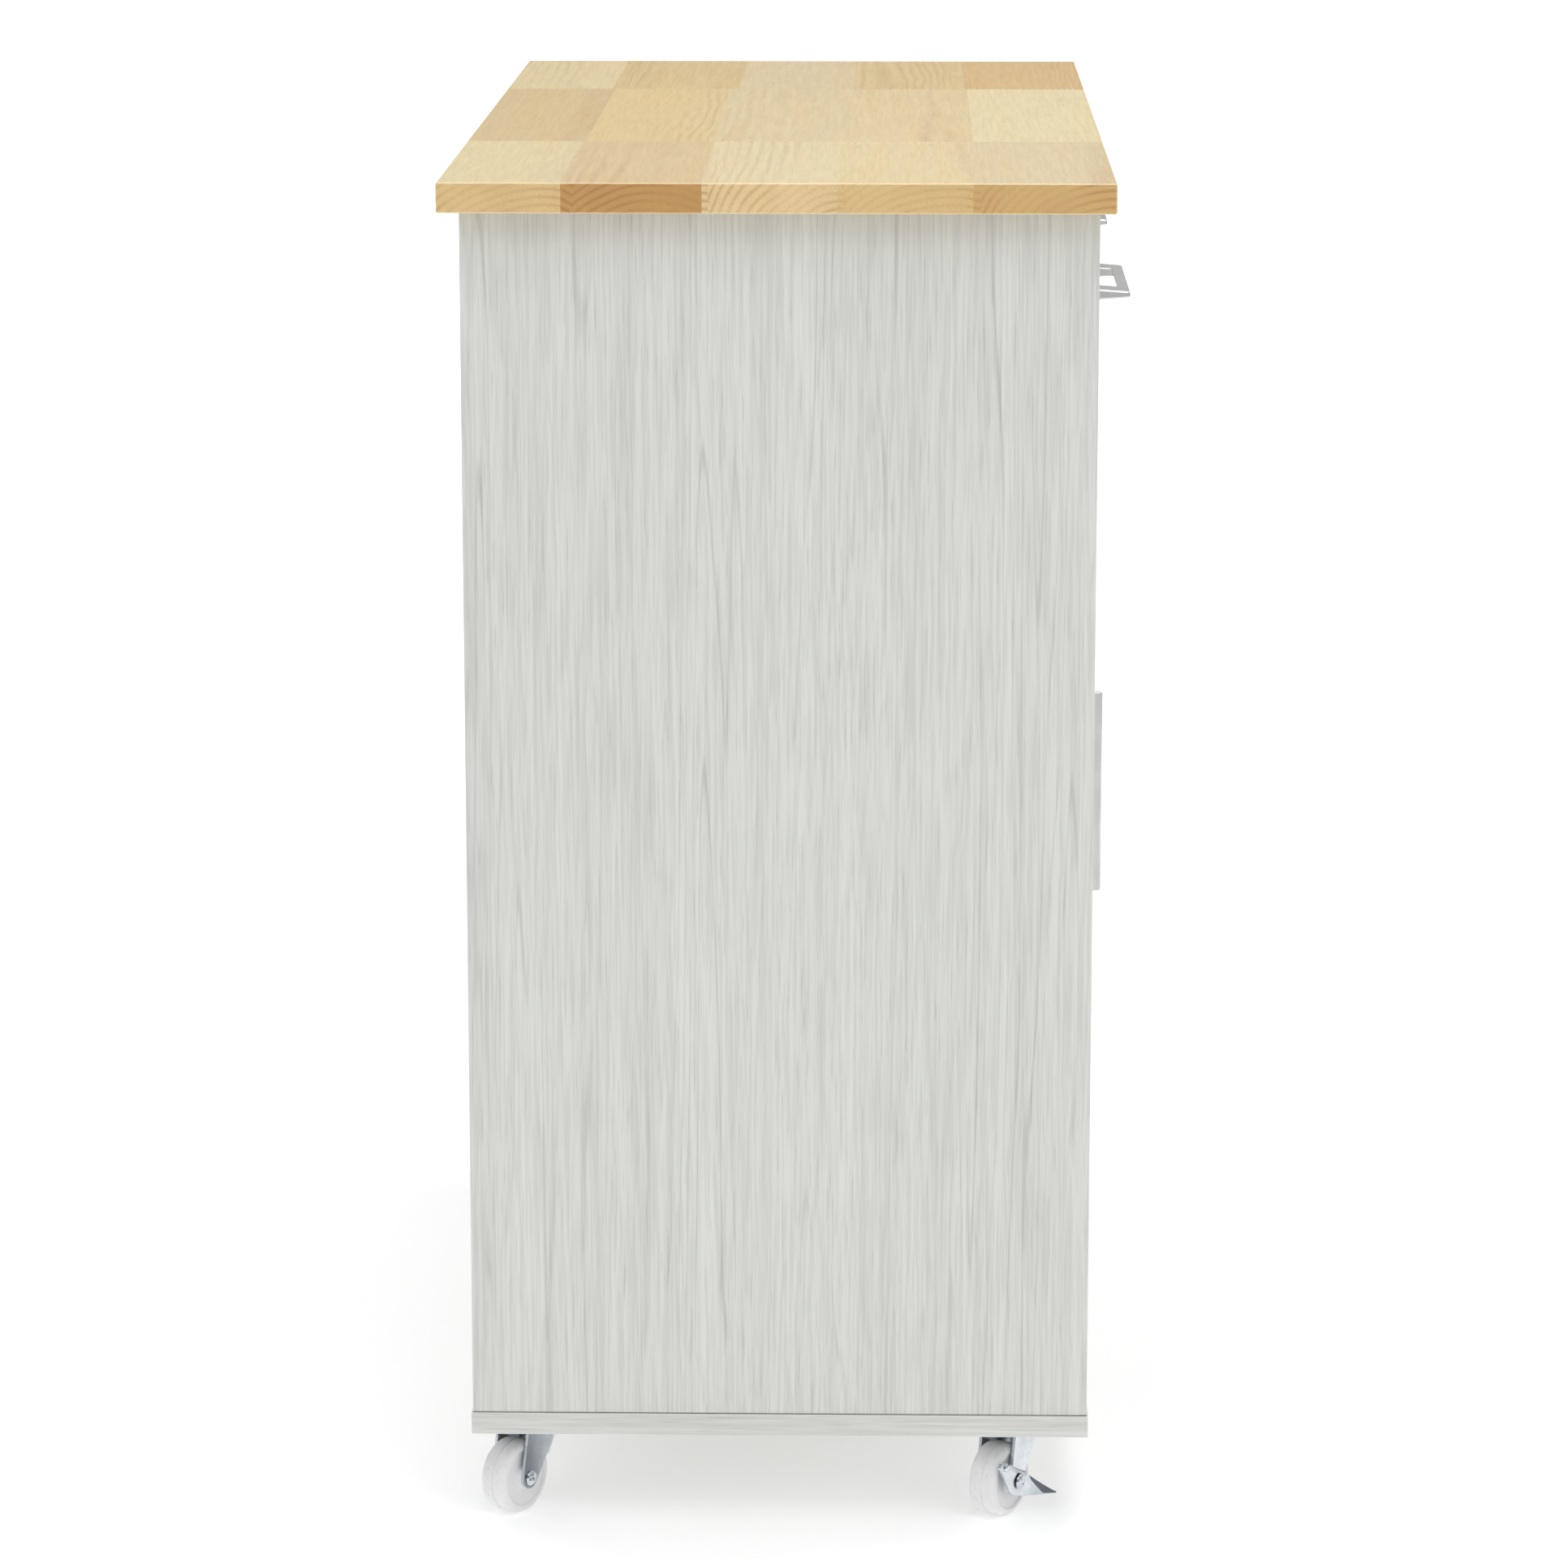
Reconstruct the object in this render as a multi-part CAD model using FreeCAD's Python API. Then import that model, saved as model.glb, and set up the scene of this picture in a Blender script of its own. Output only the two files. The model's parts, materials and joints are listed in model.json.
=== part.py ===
import FreeCAD, Part
import math
import os

# Kitchen island cart: a rubberwood worktop on a laminated cabinet that rolls on four
# swivel casters. Two drawers sit side by side under the worktop. Below them are an open
# shelf bay on the left and a one-door cupboard on the right.
#
# Millimetres, +Z up, the floor at Z = 0. +X runs along the cart, and the drawers, the door
# and the pulls face -Y. X = 0 and Y = 0 are the middle of the whole cart's box.
# Each caster is drawn about its own swivel axis: U is the way the wheel trails, V runs
# along the axle, and the whole caster is then turned about Z and moved under the base.

V3 = FreeCAD.Vector
X, Y, Z = V3(1, 0, 0), V3(0, 1, 0), V3(0, 0, 1)

# ---- worktop ----
overall_height = 914.0
top_length = 935.0
top_depth = 438.0
top_thickness = 20.0
top_edge_radius = 1.5
front_overhang = 10.0          # worktop past the front edges of the end panels

# ---- cabinet boards ----
body_length = 886.0
body_depth = 415.0
side_thickness = 15.0
divider_thickness = 15.0
base_thickness = 15.0
base_reveal = 1.0              # the base board stands this far proud of the panels on it
deck_thickness = 15.0          # boards under the drawers
back_thickness = 12.0
back_inset = 2.0               # rear face of the back panel, in from the end panels' edges
shelf_thickness = 15.0
shelf_level = 320.0            # underside of each shelf above the base board
shelf_side_gap = 1.0
open_shelf_setback = 10.0
closed_shelf_setback = 2.0     # behind the back of the door
stretcher_width = 70.0
stretcher_thickness = 15.0
board_arris = 0.5              # small bevel along every board edge
joint_clearance = 0.2          # in a notch or a groove, on each side of what it holds

# ---- drawers ----
drawer_front_height = 140.0
drawer_front_thickness = 15.0
drawer_setback = 1.0           # drawer fronts behind the end panels' front edges
front_gap = 3.0                # above and below a drawer front
side_gap = 2.0                 # beside a drawer front
slide_space = 12.7             # for the runners, each side of a drawer box
drawer_rear_space = 30.0       # drawer box to back panel, drawer shut
drawer_top_space = 21.0        # drawer box sides to the stretchers above them
drawer_side_thickness = 12.0
drawer_back_thickness = 12.0
drawer_box_lift = 10.0         # box sides above the deck
drawer_bottom_thickness = 4.0
drawer_bottom_lift = 10.0      # bottom panel above the lower edge of the box sides
groove_depth = 5.0
drawer_travel = 260.0

# ---- runners ----
runner_front_gap = 2.0         # runner's front end behind the drawer front
runner_rear_gap = 8.0          # runner's rear end in from the end of the drawer box
runner_sheet = 1.2
fixed_rail_height = 36.0
fixed_rail_lip = 4.0
rail_to_box_gap = 2.2          # lips of the fixed rail to the drawer side
rail_play = 1.8                # moving rail to the web of the fixed one
lip_play = 1.0                 # moving rail to each lip

# ---- door, hinges and catch ----
door_thickness = 15.0
door_setback = 4.0
door_gap = 2.0
hinge_length = 60.0
hinge_leaf_thickness = 1.1
hinge_leaf_play = 0.2          # between the two leaves with the door shut
hinge_leaf_width = 28.0
hinge_end_distance = 85.0      # hinge centre from the door's top or bottom edge
knuckle_radius = 3.0
knuckle_play = 0.3             # between knuckles, and from a knuckle to the panel edge
hinge_pin_radius = 1.5
hinge_pin_clearance = 0.05
hinge_pin_head_radius = 2.4
hinge_pin_head_height = 1.0
catch_size = (40.0, 14.0, 12.0)
catch_edge_radius = 1.0
catch_from_divider = 14.0
strike_size = (30.0, 1.0, 14.0)
catch_play = 0.3

# ---- pulls ----
pull_screw_spacing = 128.0
pull_end = 12.0                # screw centre to the end of the pull
pull_projection = 27.0
pull_bar_depth = 7.0
pull_bar_height = 4.0
pull_foot_height = 8.0
pull_leg_length = 26.0
pull_bevel = 0.9
pull_inner_radius = 3.0
pull_screw_engagement = 10.0
door_pull_inset = 35.0         # pull centre line from the door's free edge

# ---- casters ----
wheel_diameter = 50.0
wheel_headroom = 14.0          # top of the wheel to the underside of the base board
wheel_width = 21.0
wheel_shoulder = 4.0
wheel_rim_width = 5.0          # tread to the dished part of the side
wheel_recess_depth = 1.8
wheel_hub_radius = 8.5
wheel_hub_play = 0.3           # hub face to fork leg
wheel_groove_width = 1.6
wheel_groove_depth = 0.8
caster_trail = 18.0
caster_end_inset = 45.0        # swivel axis from the cabinet's end face
caster_rear_inset = 36.0
caster_front_inset = 49.0
plate_length = 60.0
plate_width = 48.0
plate_thickness = 2.5
plate_corner = 5.0
plate_hole_inset = 6.0
race_radius = 14.0
race_height = 1.4
swivel_play = 0.4              # between the race and the fork crown, and under the crown
king_pin_radius = 4.0
king_pin_head_radius = 7.0
king_pin_head_height = 2.0
fork_sheet = 2.0
fork_side_gap = 1.5            # wheel side to fork leg
fork_crown_front = 20.5        # crown forward of the swivel axis
fork_crown_rear = 19.0
fork_bend_radius = 8.0
fork_elbow_rise = 12.5         # where the front wall ends, above the axle
fork_wall_gap = 4.55           # wheel's rim to the outside of the front wall, at the elbow
fork_end_radius = 7.5
axle_radius = 3.0
running_clearance = 0.06
axle_head_radius = 5.2
axle_head_height = 2.6
axle_head_dome = 1.8
# corner of the base board each caster stands under, and the way its wheel trails
caster_turn = {"rear_left": 145.0, "front_left": 149.0, "rear_right": 138.0, "front_right": 155.0}

# ---- brake levers, on the front casters ----
lever_sheet = 1.5
lever_play = 0.3
lever_lift = 22.0              # degrees from locked to free
lever_corner = 1.8
stud_radius = 2.5
stud_at = (18.0, 14.4)         # along U and above the axle, as are the points below
lever_outline = [(25.0, 18.5), (13.0, 14.0), (-11.0, 2.5), (-20.0, -14.0), (-7.0, -12.5),
                 (10.0, -6.5)]
pedal_root_high = (-10.0, 1.5)
pedal_root_low = (-20.0, -13.0)
pedal_tip = (-30.0, -14.5)
pedal_reach = 13.0             # pedal tip outward of the lever plate
pedal_tip_share = 0.12         # half the tip's width, as a share of the pedal's root

# ---- screws: (shank radius, head radius, head height), and shelf pins ----
board_screw = (2.0, 4.0, 2.2)
panel_screw = (2.5, 4.5, 3.5)
plate_screw = (2.0, 3.6, 2.0)
pull_screw = (2.0, 4.0, 2.4)
screw_clearance = 0.05
worktop_screw_bite = 12.0      # past the stretcher, into the worktop
worktop_screw_shares = (-0.8, -0.35, 0.35, 0.8)     # along half the inside length
panel_screw_length = 45.0
panel_screw_inset = 70.0
plate_screw_bite = 11.0        # past the mounting plate, into the base board
pin_radius = 2.5
pin_length = 16.0
pin_hole_depth = 7.0
pin_front_inset = 60.0
pin_rear_inset = 50.0
pin_row_pitch = 64.0
overrun = 1.0                  # how far a cutter runs past what it cuts

# ---- levels worked out from the sizes above ----
z_base_low = wheel_diameter + wheel_headroom
z_base_top = z_base_low + base_thickness
z_top_low = overall_height - top_thickness
z_deck_top = z_top_low - 2 * front_gap - drawer_front_height
z_deck_low = z_deck_top - deck_thickness
z_stretcher_low = z_top_low - stretcher_thickness
z_shelf = z_base_top + shelf_level
z_axle = wheel_diameter / 2
z_drawer_box = z_deck_top + drawer_box_lift
drawer_side_height = z_stretcher_low - drawer_top_space - z_drawer_box
z_runner = z_drawer_box + drawer_side_height / 2

x_body = body_length / 2
x_inner = x_body - side_thickness
x_divider = divider_thickness / 2
bays = {"left": (-x_inner, -x_divider), "right": (x_divider, x_inner)}

pull_reach = pull_projection - drawer_setback
y_front = (pull_reach + front_overhang - top_depth) / 2
y_rear = y_front + body_depth
y_back_inner = y_rear - back_inset - back_thickness
y_drawer_front = y_front + drawer_setback
y_drawer_box = y_drawer_front + drawer_front_thickness
y_box_end = y_back_inner - drawer_rear_space
runner_span = (y_drawer_box + runner_front_gap, y_box_end - runner_rear_gap)
y_door_front = y_front + door_setback
y_door_back = y_door_front + door_thickness
y_front_stretcher = y_drawer_box + front_gap

fixed_rail_depth = slide_space - rail_to_box_gap
moving_rail_depth = slide_space - runner_sheet - rail_play
moving_rail_height = fixed_rail_height - 2 * (fixed_rail_lip + lip_play)

hinge_gap = 2 * hinge_leaf_thickness + hinge_leaf_play
x_hinge_pin = x_inner - hinge_gap / 2
y_hinge_pin = y_front - knuckle_radius - knuckle_play
door_x = (x_divider + door_gap, x_inner - hinge_gap)
door_z = (z_base_top + door_gap, z_deck_low - door_gap)
hinge_levels = (door_z[0] + hinge_end_distance, door_z[1] - hinge_end_distance)

pull_length = pull_screw_spacing + 2 * pull_end

fork_inner = wheel_width / 2 + fork_side_gap
fork_outer = fork_inner + fork_sheet
z_plate_low = z_base_low - plate_thickness
z_crown_top = z_plate_low - race_height - swivel_play
rim_at_elbow = math.sqrt((wheel_diameter / 2) ** 2 - fork_elbow_rise ** 2)
fork_elbow_u = caster_trail - rim_at_elbow - fork_wall_gap
lever_v = (fork_outer + lever_play, fork_outer + lever_play + lever_sheet)


def block(x, y, z):
    """A box between three (low, high) pairs."""
    size = (x[1] - x[0], y[1] - y[0], z[1] - z[0])
    return Part.makeBox(*size, V3(x[0], y[0], z[0]))


def board(x, y, z):
    """A box with a small bevel along all its edges."""
    solid = block(x, y, z)
    return solid.makeChamfer(board_arris, solid.Edges)


def rod(start, direction, radius, length):
    return Part.makeCylinder(radius, length, start, direction)


def prism(points, depth):
    """A closed outline of points, pushed along the depth vector."""
    return Part.Face(Part.makePolygon(list(points) + [points[0]])).extrude(depth)


def edges_along(solid, direction, test):
    """Straight edges of a solid that run along a direction and whose middle passes a test."""
    found = []
    for edge in solid.Edges:
        ends = [v.Point for v in edge.Vertexes]
        if len(ends) != 2:
            continue
        run = (ends[1] - ends[0]).normalize()
        if abs(run.dot(direction)) > 0.999 and test((ends[0] + ends[1]) * 0.5):
            found.append(edge)
    return found


def screw(kind, head_at, direction, length, play=0.0):
    """A pan-head screw: the head's underside at head_at, the shank along direction.

    With play, the same screw a little fatter, to cut its hole with."""
    radius, head_radius, head_height = kind
    shank = rod(head_at, direction, radius + play, length + play)
    head = rod(head_at - direction * head_height, direction, head_radius + play, head_height)
    return shank.fuse(head)


def cut_all(solid, cutters):
    return solid.cut(Part.makeCompound(cutters)) if cutters else solid


# ---------------------------------------------------------------- fasteners

def worktop_screws(play=0.0):
    """Up through the two stretchers into the worktop."""
    made = []
    for y in (y_front_stretcher + stretcher_width / 2, y_back_inner - stretcher_width / 2):
        for share in worktop_screw_shares:
            at = V3(share * x_inner, y, z_stretcher_low)
            made.append(screw(board_screw, at, Z, stretcher_thickness + worktop_screw_bite, play))
    return made


def base_screws(play=0.0):
    """Long screws up through the base board into the end panels and the divider.

    Their heads are let in flush with the underside."""
    z = z_base_low + panel_screw[2]
    ys = (y_front + panel_screw_inset, (y_front + y_rear) / 2, y_rear - panel_screw_inset)
    made = []
    for x in (-x_body + side_thickness / 2, 0.0, x_body - side_thickness / 2):
        for y in ys:
            made.append(screw(panel_screw, V3(x, y, z), Z, panel_screw_length, play))
    return made


def caster_centres():
    x = x_body - caster_end_inset
    ys = {"rear": y_rear - caster_rear_inset, "front": y_front + caster_front_inset}
    return {name: (x if "right" in name else -x, ys[name.split("_")[0]]) for name in caster_turn}


def caster_screws(play=0.0):
    """Four short screws through each mounting plate into the base board."""
    hole_x, hole_y = plate_length / 2 - plate_hole_inset, plate_width / 2 - plate_hole_inset
    made = []
    for cx, cy in caster_centres().values():
        for sx in (-1, 1):
            for sy in (-1, 1):
                at = V3(cx + sx * hole_x, cy + sy * hole_y, z_plate_low)
                made.append(screw(plate_screw, at, Z, plate_thickness + plate_screw_bite, play))
    return made


def pin_rows():
    """(x of the panel face, way into the bay, y) of each row of shelf-pin holes."""
    ys = (y_front + pin_front_inset, y_back_inner - pin_rear_inset)
    faces = [(low, 1) for low, high in bays.values()] + [(high, -1) for low, high in bays.values()]
    return [(x, way, y) for x, way in faces for y in ys]


def shelf_pins():
    z = z_shelf - pin_radius
    made = []
    for x, way, y in pin_rows():
        start = V3(x - way * pin_hole_depth, y, z)
        made.append(rod(start, X * way, pin_radius, pin_length))
    return made


def pin_holes():
    """Three heights a shelf can hang at."""
    made = []
    for x, way, y in pin_rows():
        for step in (-1, 0, 1):
            z = z_shelf - pin_radius + step * pin_row_pitch
            start = V3(x - way * pin_hole_depth, y, z)
            made.append(rod(start, X * way, pin_radius + screw_clearance, pin_hole_depth + overrun))
    return made


# ---------------------------------------------------------------- cabinet

def worktop():
    y_low = y_front - front_overhang
    slab = block((-top_length / 2, top_length / 2), (y_low, y_low + top_depth),
                 (z_top_low, overall_height))
    slab = slab.makeFillet(top_edge_radius, slab.Edges)
    return cut_all(slab, worktop_screws(screw_clearance))


def side_panel(way):
    x = sorted((way * x_inner, way * x_body))
    panel = board(x, (y_front, y_rear), (z_base_top, z_top_low))
    return cut_all(panel, base_screws(screw_clearance) + pin_holes())


def base_board():
    x = x_body + base_reveal
    panel = board((-x, x), (y_front - base_reveal, y_rear + base_reveal), (z_base_low, z_base_top))
    return cut_all(panel, base_screws(screw_clearance) + caster_screws(screw_clearance))


def stretcher(y_low):
    y = (y_low, y_low + stretcher_width)
    rail = board((-x_inner, x_inner), y, (z_stretcher_low, z_top_low))
    return cut_all(rail, worktop_screws(screw_clearance))


def centre_divider():
    """Stands on the base board and is notched for the two stretchers."""
    panel = board((-x_divider, x_divider), (y_front, y_back_inner), (z_base_top, z_top_low))
    for y_low in (y_front_stretcher, y_back_inner - stretcher_width):
        notch = block((-divider_thickness, divider_thickness),
                      (y_low - joint_clearance, y_low + stretcher_width + joint_clearance),
                      (z_stretcher_low, z_top_low + overrun))
        panel = panel.cut(notch)
    return cut_all(panel, base_screws(screw_clearance) + pin_holes())


def drawer_deck(bay):
    return board(bays[bay], (y_front, y_back_inner), (z_deck_low, z_deck_top))


def back_panel():
    y = (y_back_inner, y_rear - back_inset)
    return board((-x_inner, x_inner), y, (z_base_top, z_top_low))


def shelf(bay, y_low):
    x = (bays[bay][0] + shelf_side_gap, bays[bay][1] - shelf_side_gap)
    y = (y_low, y_back_inner - shelf_side_gap)
    return board(x, y, (z_shelf, z_shelf + shelf_thickness))


# ---------------------------------------------------------------- runners

def channel(x_back, way, height, depth, y, z_mid):
    """A U-section rail: its web at x_back, its flanges reaching depth along way."""
    x = sorted((x_back, x_back + way * depth))
    hollow = sorted((x_back + way * runner_sheet, x_back + way * (depth + overrun)))
    inner = height / 2 - runner_sheet
    outer = block(x, y, (z_mid - height / 2, z_mid + height / 2))
    y_past = (y[0] - overrun, y[1] + overrun)
    return outer.cut(block(hollow, y_past, (z_mid - inner, z_mid + inner)))


def fixed_rails(bay):
    """A lipped channel on each wall of the drawer's bay."""
    made = []
    for x_wall, way in ((bays[bay][0], 1), (bays[bay][1], -1)):
        rail = channel(x_wall, way, fixed_rail_height, fixed_rail_depth, runner_span, z_runner)
        tip = x_wall + way * fixed_rail_depth
        x = sorted((tip, tip - way * runner_sheet))
        for side in (-1, 1):
            edge = z_runner + side * fixed_rail_height / 2
            rail = rail.fuse(block(x, runner_span, sorted((edge, edge - side * fixed_rail_lip))))
        made.append(rail.removeSplitter())
    return made


def moving_rails(bay):
    """A narrower channel on each side of the drawer box, which slides inside the fixed one."""
    made = []
    for x_wall, way in ((bays[bay][0], 1), (bays[bay][1], -1)):
        x_web = x_wall + way * slide_space
        made.append(channel(x_web, -way, moving_rail_height, moving_rail_depth, runner_span,
                            z_runner))
    return made


# ---------------------------------------------------------------- pulls

def pull():
    """A bar pull lying along X, its feet on the plane Y = 0, reaching to -Y.

    The section narrows from the feet to the bar, and every outer edge is bevelled."""
    foot, tip = pull_foot_height / 2, pull_bar_height / 2
    half = pull_length / 2
    section = [V3(-half, 0, -foot), V3(-half, 0, foot),
               V3(-half, -pull_projection, tip), V3(-half, -pull_projection, -tip)]
    solid = prism(section, X * pull_length)
    outer = [e for e in solid.Edges if e.CenterOfMass.y < -pull_bevel]
    solid = solid.makeChamfer(pull_bevel, outer)
    gap_x = half - pull_leg_length
    gap = block((-gap_x, gap_x), (-pull_projection + pull_bar_depth, overrun),
                (-foot - overrun, foot + overrun))
    corners = edges_along(gap, Z, lambda p: p.y < 0)
    return solid.cut(gap.makeFillet(pull_inner_radius, corners))


def pull_screws(board_thickness, play=0.0):
    """From behind the board into the pull's two feet, the board's face being Y = 0."""
    reach = board_thickness + pull_screw_engagement
    return [screw(pull_screw, V3(side * pull_screw_spacing / 2, board_thickness, 0), Y * -1,
                  reach, play) for side in (-1, 1)]


def placed(shape, at, upright):
    """Moves a pull or its screws to a board, turned upright for a door."""
    copy = shape.copy()
    if upright:
        copy.rotate(V3(0, 0, 0), Y, 90)
    copy.translate(at)
    return copy


def pull_set(board_thickness, at, upright=False):
    """The pull, its screws, and the same screws fattened for the board's holes."""
    holes = Part.makeCompound(pull_screws(board_thickness, screw_clearance))
    screws = Part.makeCompound(pull_screws(board_thickness))
    handle = pull().cut(holes)
    return [placed(shape, at, upright) for shape in (handle, screws, holes)]


# ---------------------------------------------------------------- drawers

def drawer(bay):
    """Every piece of one drawer, by name."""
    low, high = bays[bay]
    z_high = z_drawer_box + drawer_side_height
    z_bottom = z_drawer_box + drawer_bottom_lift
    z_floor = z_bottom + drawer_bottom_thickness
    z_front = z_deck_top + front_gap
    outer = (low + slide_space, high - slide_space)
    inner = (outer[0] + drawer_side_thickness, outer[1] - drawer_side_thickness)

    bottom = block((inner[0] - groove_depth, inner[1] + groove_depth),
                   (y_drawer_box - groove_depth, y_box_end), (z_bottom, z_floor))
    groove = block((inner[0] - groove_depth, inner[1] + groove_depth),
                   (y_drawer_box - groove_depth, y_box_end + overrun),
                   (z_bottom - joint_clearance, z_floor + joint_clearance))
    front = board((low + side_gap, high - side_gap), (y_drawer_front, y_drawer_box),
                  (z_front, z_front + drawer_front_height))
    handle_at = V3((low + high) / 2, y_drawer_front, z_front + drawer_front_height / 2)
    handle, screws, holes = pull_set(drawer_front_thickness, handle_at)
    sides = [board(x, (y_drawer_box, y_box_end), (z_drawer_box, z_high)).cut(groove)
             for x in ((outer[0], inner[0]), (inner[1], outer[1]))]
    back = board(inner, (y_box_end - drawer_back_thickness, y_box_end),
                 (z_floor + joint_clearance, z_high))
    return {
        "drawer_front_" + bay: front.cut(groove).cut(holes),
        "drawer_sides_" + bay: Part.makeCompound(sides),
        "drawer_back_" + bay: back,
        "drawer_bottom_" + bay: bottom,
        "drawer_runners_" + bay: Part.makeCompound(moving_rails(bay)),
        "drawer_pull_" + bay: handle,
        "drawer_pull_screws_" + bay: screws,
    }


# ---------------------------------------------------------------- door

def hinge_leaf(z_mid, frame):
    """One leaf with its knuckles. The frame leaf has the two end knuckles, the door leaf the
    middle one, and each leaf is notched clear of the other's knuckles."""
    third = hinge_length / 3
    z_low = z_mid - hinge_length / 2
    if frame:
        x = (x_inner - hinge_leaf_thickness, x_inner)
        spans = [(z_low, z_low + third), (z_low + 2 * third, z_low + hinge_length)]
    else:
        x = (x_inner - hinge_gap, x_inner - hinge_gap + hinge_leaf_thickness)
        spans = [(z_low + third + knuckle_play, z_low + 2 * third - knuckle_play)]
    clear = y_hinge_pin + knuckle_radius + knuckle_play
    leaf = block(x, (clear, y_hinge_pin + hinge_leaf_width), (z_low, z_low + hinge_length))
    for span in spans:
        start = V3(x_hinge_pin, y_hinge_pin, span[0])
        leaf = leaf.fuse(rod(start, Z, knuckle_radius, span[1] - span[0]))
        leaf = leaf.fuse(block(x, (y_hinge_pin, clear + overrun), span))
    bore = rod(V3(x_hinge_pin, y_hinge_pin, z_low - overrun), Z,
               hinge_pin_radius + hinge_pin_clearance, hinge_length + 2 * overrun)
    return leaf.cut(bore).removeSplitter()


def hinge_pin(z_mid):
    """Headed at the top, so that it can't drop out."""
    at = V3(x_hinge_pin, y_hinge_pin, z_mid - hinge_length / 2)
    shank = rod(at, Z, hinge_pin_radius, hinge_length)
    head = rod(at + Z * hinge_length, Z, hinge_pin_head_radius, hinge_pin_head_height)
    return shank.fuse(head)


def door_pieces():
    panel = board(door_x, (y_door_front, y_door_back), door_z)
    handle_at = V3(door_x[0] + door_pull_inset, y_door_front, (door_z[0] + door_z[1]) / 2)
    handle, screws, holes = pull_set(door_thickness, handle_at, upright=True)
    x_strike = x_divider + catch_from_divider + (catch_size[0] - strike_size[0]) / 2
    z_strike = z_deck_low - catch_size[2] / 2
    strike = block((x_strike, x_strike + strike_size[0]),
                   (y_door_back, y_door_back + strike_size[1]),
                   (z_strike - strike_size[2] / 2, min(z_strike + strike_size[2] / 2, door_z[1])))
    return {
        "door_panel": panel.cut(holes),
        "door_pull": handle,
        "door_pull_screws": screws,
        "door_hinge_leaves": Part.makeCompound([hinge_leaf(z, False) for z in hinge_levels]),
        "catch_strike_plate": strike,
    }


def magnetic_catch():
    """A plastic case under the deck with the magnet's face just clear of the strike plate."""
    x = x_divider + catch_from_divider
    y = y_door_back + strike_size[1] + catch_play
    z = (z_deck_low - catch_size[2], z_deck_low)
    case = block((x, x + catch_size[0]), (y, y + catch_size[1]), z)
    lower = edges_along(case, Y, lambda p: p.z < sum(z) / 2)
    return case.makeFillet(catch_edge_radius, lower)


# ---------------------------------------------------------------- casters

def caster_plate():
    """Mounting plate, ball race and riveted king pin, all one piece once it is swaged."""
    plate = block((-plate_length / 2, plate_length / 2), (-plate_width / 2, plate_width / 2),
                  (z_plate_low, z_base_low))
    plate = plate.makeFillet(plate_corner, edges_along(plate, Z, lambda p: True))
    race = rod(V3(0, 0, z_plate_low - race_height), Z, race_radius, race_height)
    z_head_top = z_crown_top - fork_sheet - swivel_play
    pin = rod(V3(0, 0, z_head_top), Z, king_pin_radius, z_plate_low - z_head_top)
    head = rod(V3(0, 0, z_head_top - king_pin_head_height), Z, king_pin_head_radius,
               king_pin_head_height)
    return plate.fuse([race, pin, head]).removeSplitter()


def tangent_point(outside, centre, radius, side):
    """Where a line from outside touches a circle, in (u, z). side picks which of the two."""
    du, dz = outside[0] - centre[0], outside[1] - centre[1]
    far = math.hypot(du, dz)
    turn = math.atan2(dz, du) + side * math.acos(radius / far)
    return (centre[0] + radius * math.cos(turn), centre[1] + radius * math.sin(turn))


def fork():
    """Stamped fork: a sheet folded over the wheel. Its front wall slopes back to an elbow, and
    below that only the two legs go on to the axle, where each ends in a round."""
    axle = (caster_trail, z_axle)
    top_front = (-fork_crown_front, z_crown_top)
    elbow = (fork_elbow_u, z_axle + fork_elbow_rise)
    top_rear = (fork_crown_rear, z_crown_top)
    low_front = tangent_point(elbow, axle, fork_end_radius, 1)
    low_rear = tangent_point(top_rear, axle, fork_end_radius, -1)
    bottom = (axle[0], axle[1] - fork_end_radius)

    def at(point):
        return V3(point[0], -fork_outer, point[1])

    outline = Part.Wire([
        Part.makeLine(at(top_front), at(elbow)),
        Part.makeLine(at(elbow), at(low_front)),
        Part.Arc(at(low_front), at(bottom), at(low_rear)).toShape(),
        Part.makeLine(at(low_rear), at(top_rear)),
        Part.makeLine(at(top_rear), at(top_front)),
    ])
    solid = Part.Face(outline).extrude(Y * (2 * fork_outer))
    slope = (at(elbow) - at(top_front)).normalize()
    solid = solid.makeFillet(fork_bend_radius, edges_along(solid, slope, lambda p: True))

    # the hollow: the same slope, one sheet further back, open behind and below
    shift = fork_sheet / abs(slope.z)
    rear = 3 * wheel_diameter
    hollow = prism([V3(top_front[0] + shift - slope.x / slope.z * fork_sheet, -fork_inner,
                       z_crown_top - fork_sheet),
                    V3(elbow[0] + shift, -fork_inner, elbow[1]),
                    V3(elbow[0] + shift - wheel_diameter, -fork_inner, elbow[1]),
                    V3(elbow[0] + shift - wheel_diameter, -fork_inner, 0),
                    V3(rear, -fork_inner, 0),
                    V3(rear, -fork_inner, z_crown_top - fork_sheet)], Y * (2 * fork_inner))
    bends = edges_along(hollow, slope, lambda p: True)
    hollow = hollow.makeFillet(fork_bend_radius - fork_sheet, bends)
    bore = rod(V3(caster_trail, -2 * fork_outer, z_axle), Y, axle_radius + running_clearance,
               4 * fork_outer)
    king = rod(V3(0, 0, 0), Z, king_pin_radius + running_clearance, overall_height)
    return solid.cut(hollow).cut(bore).cut(king)


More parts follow.
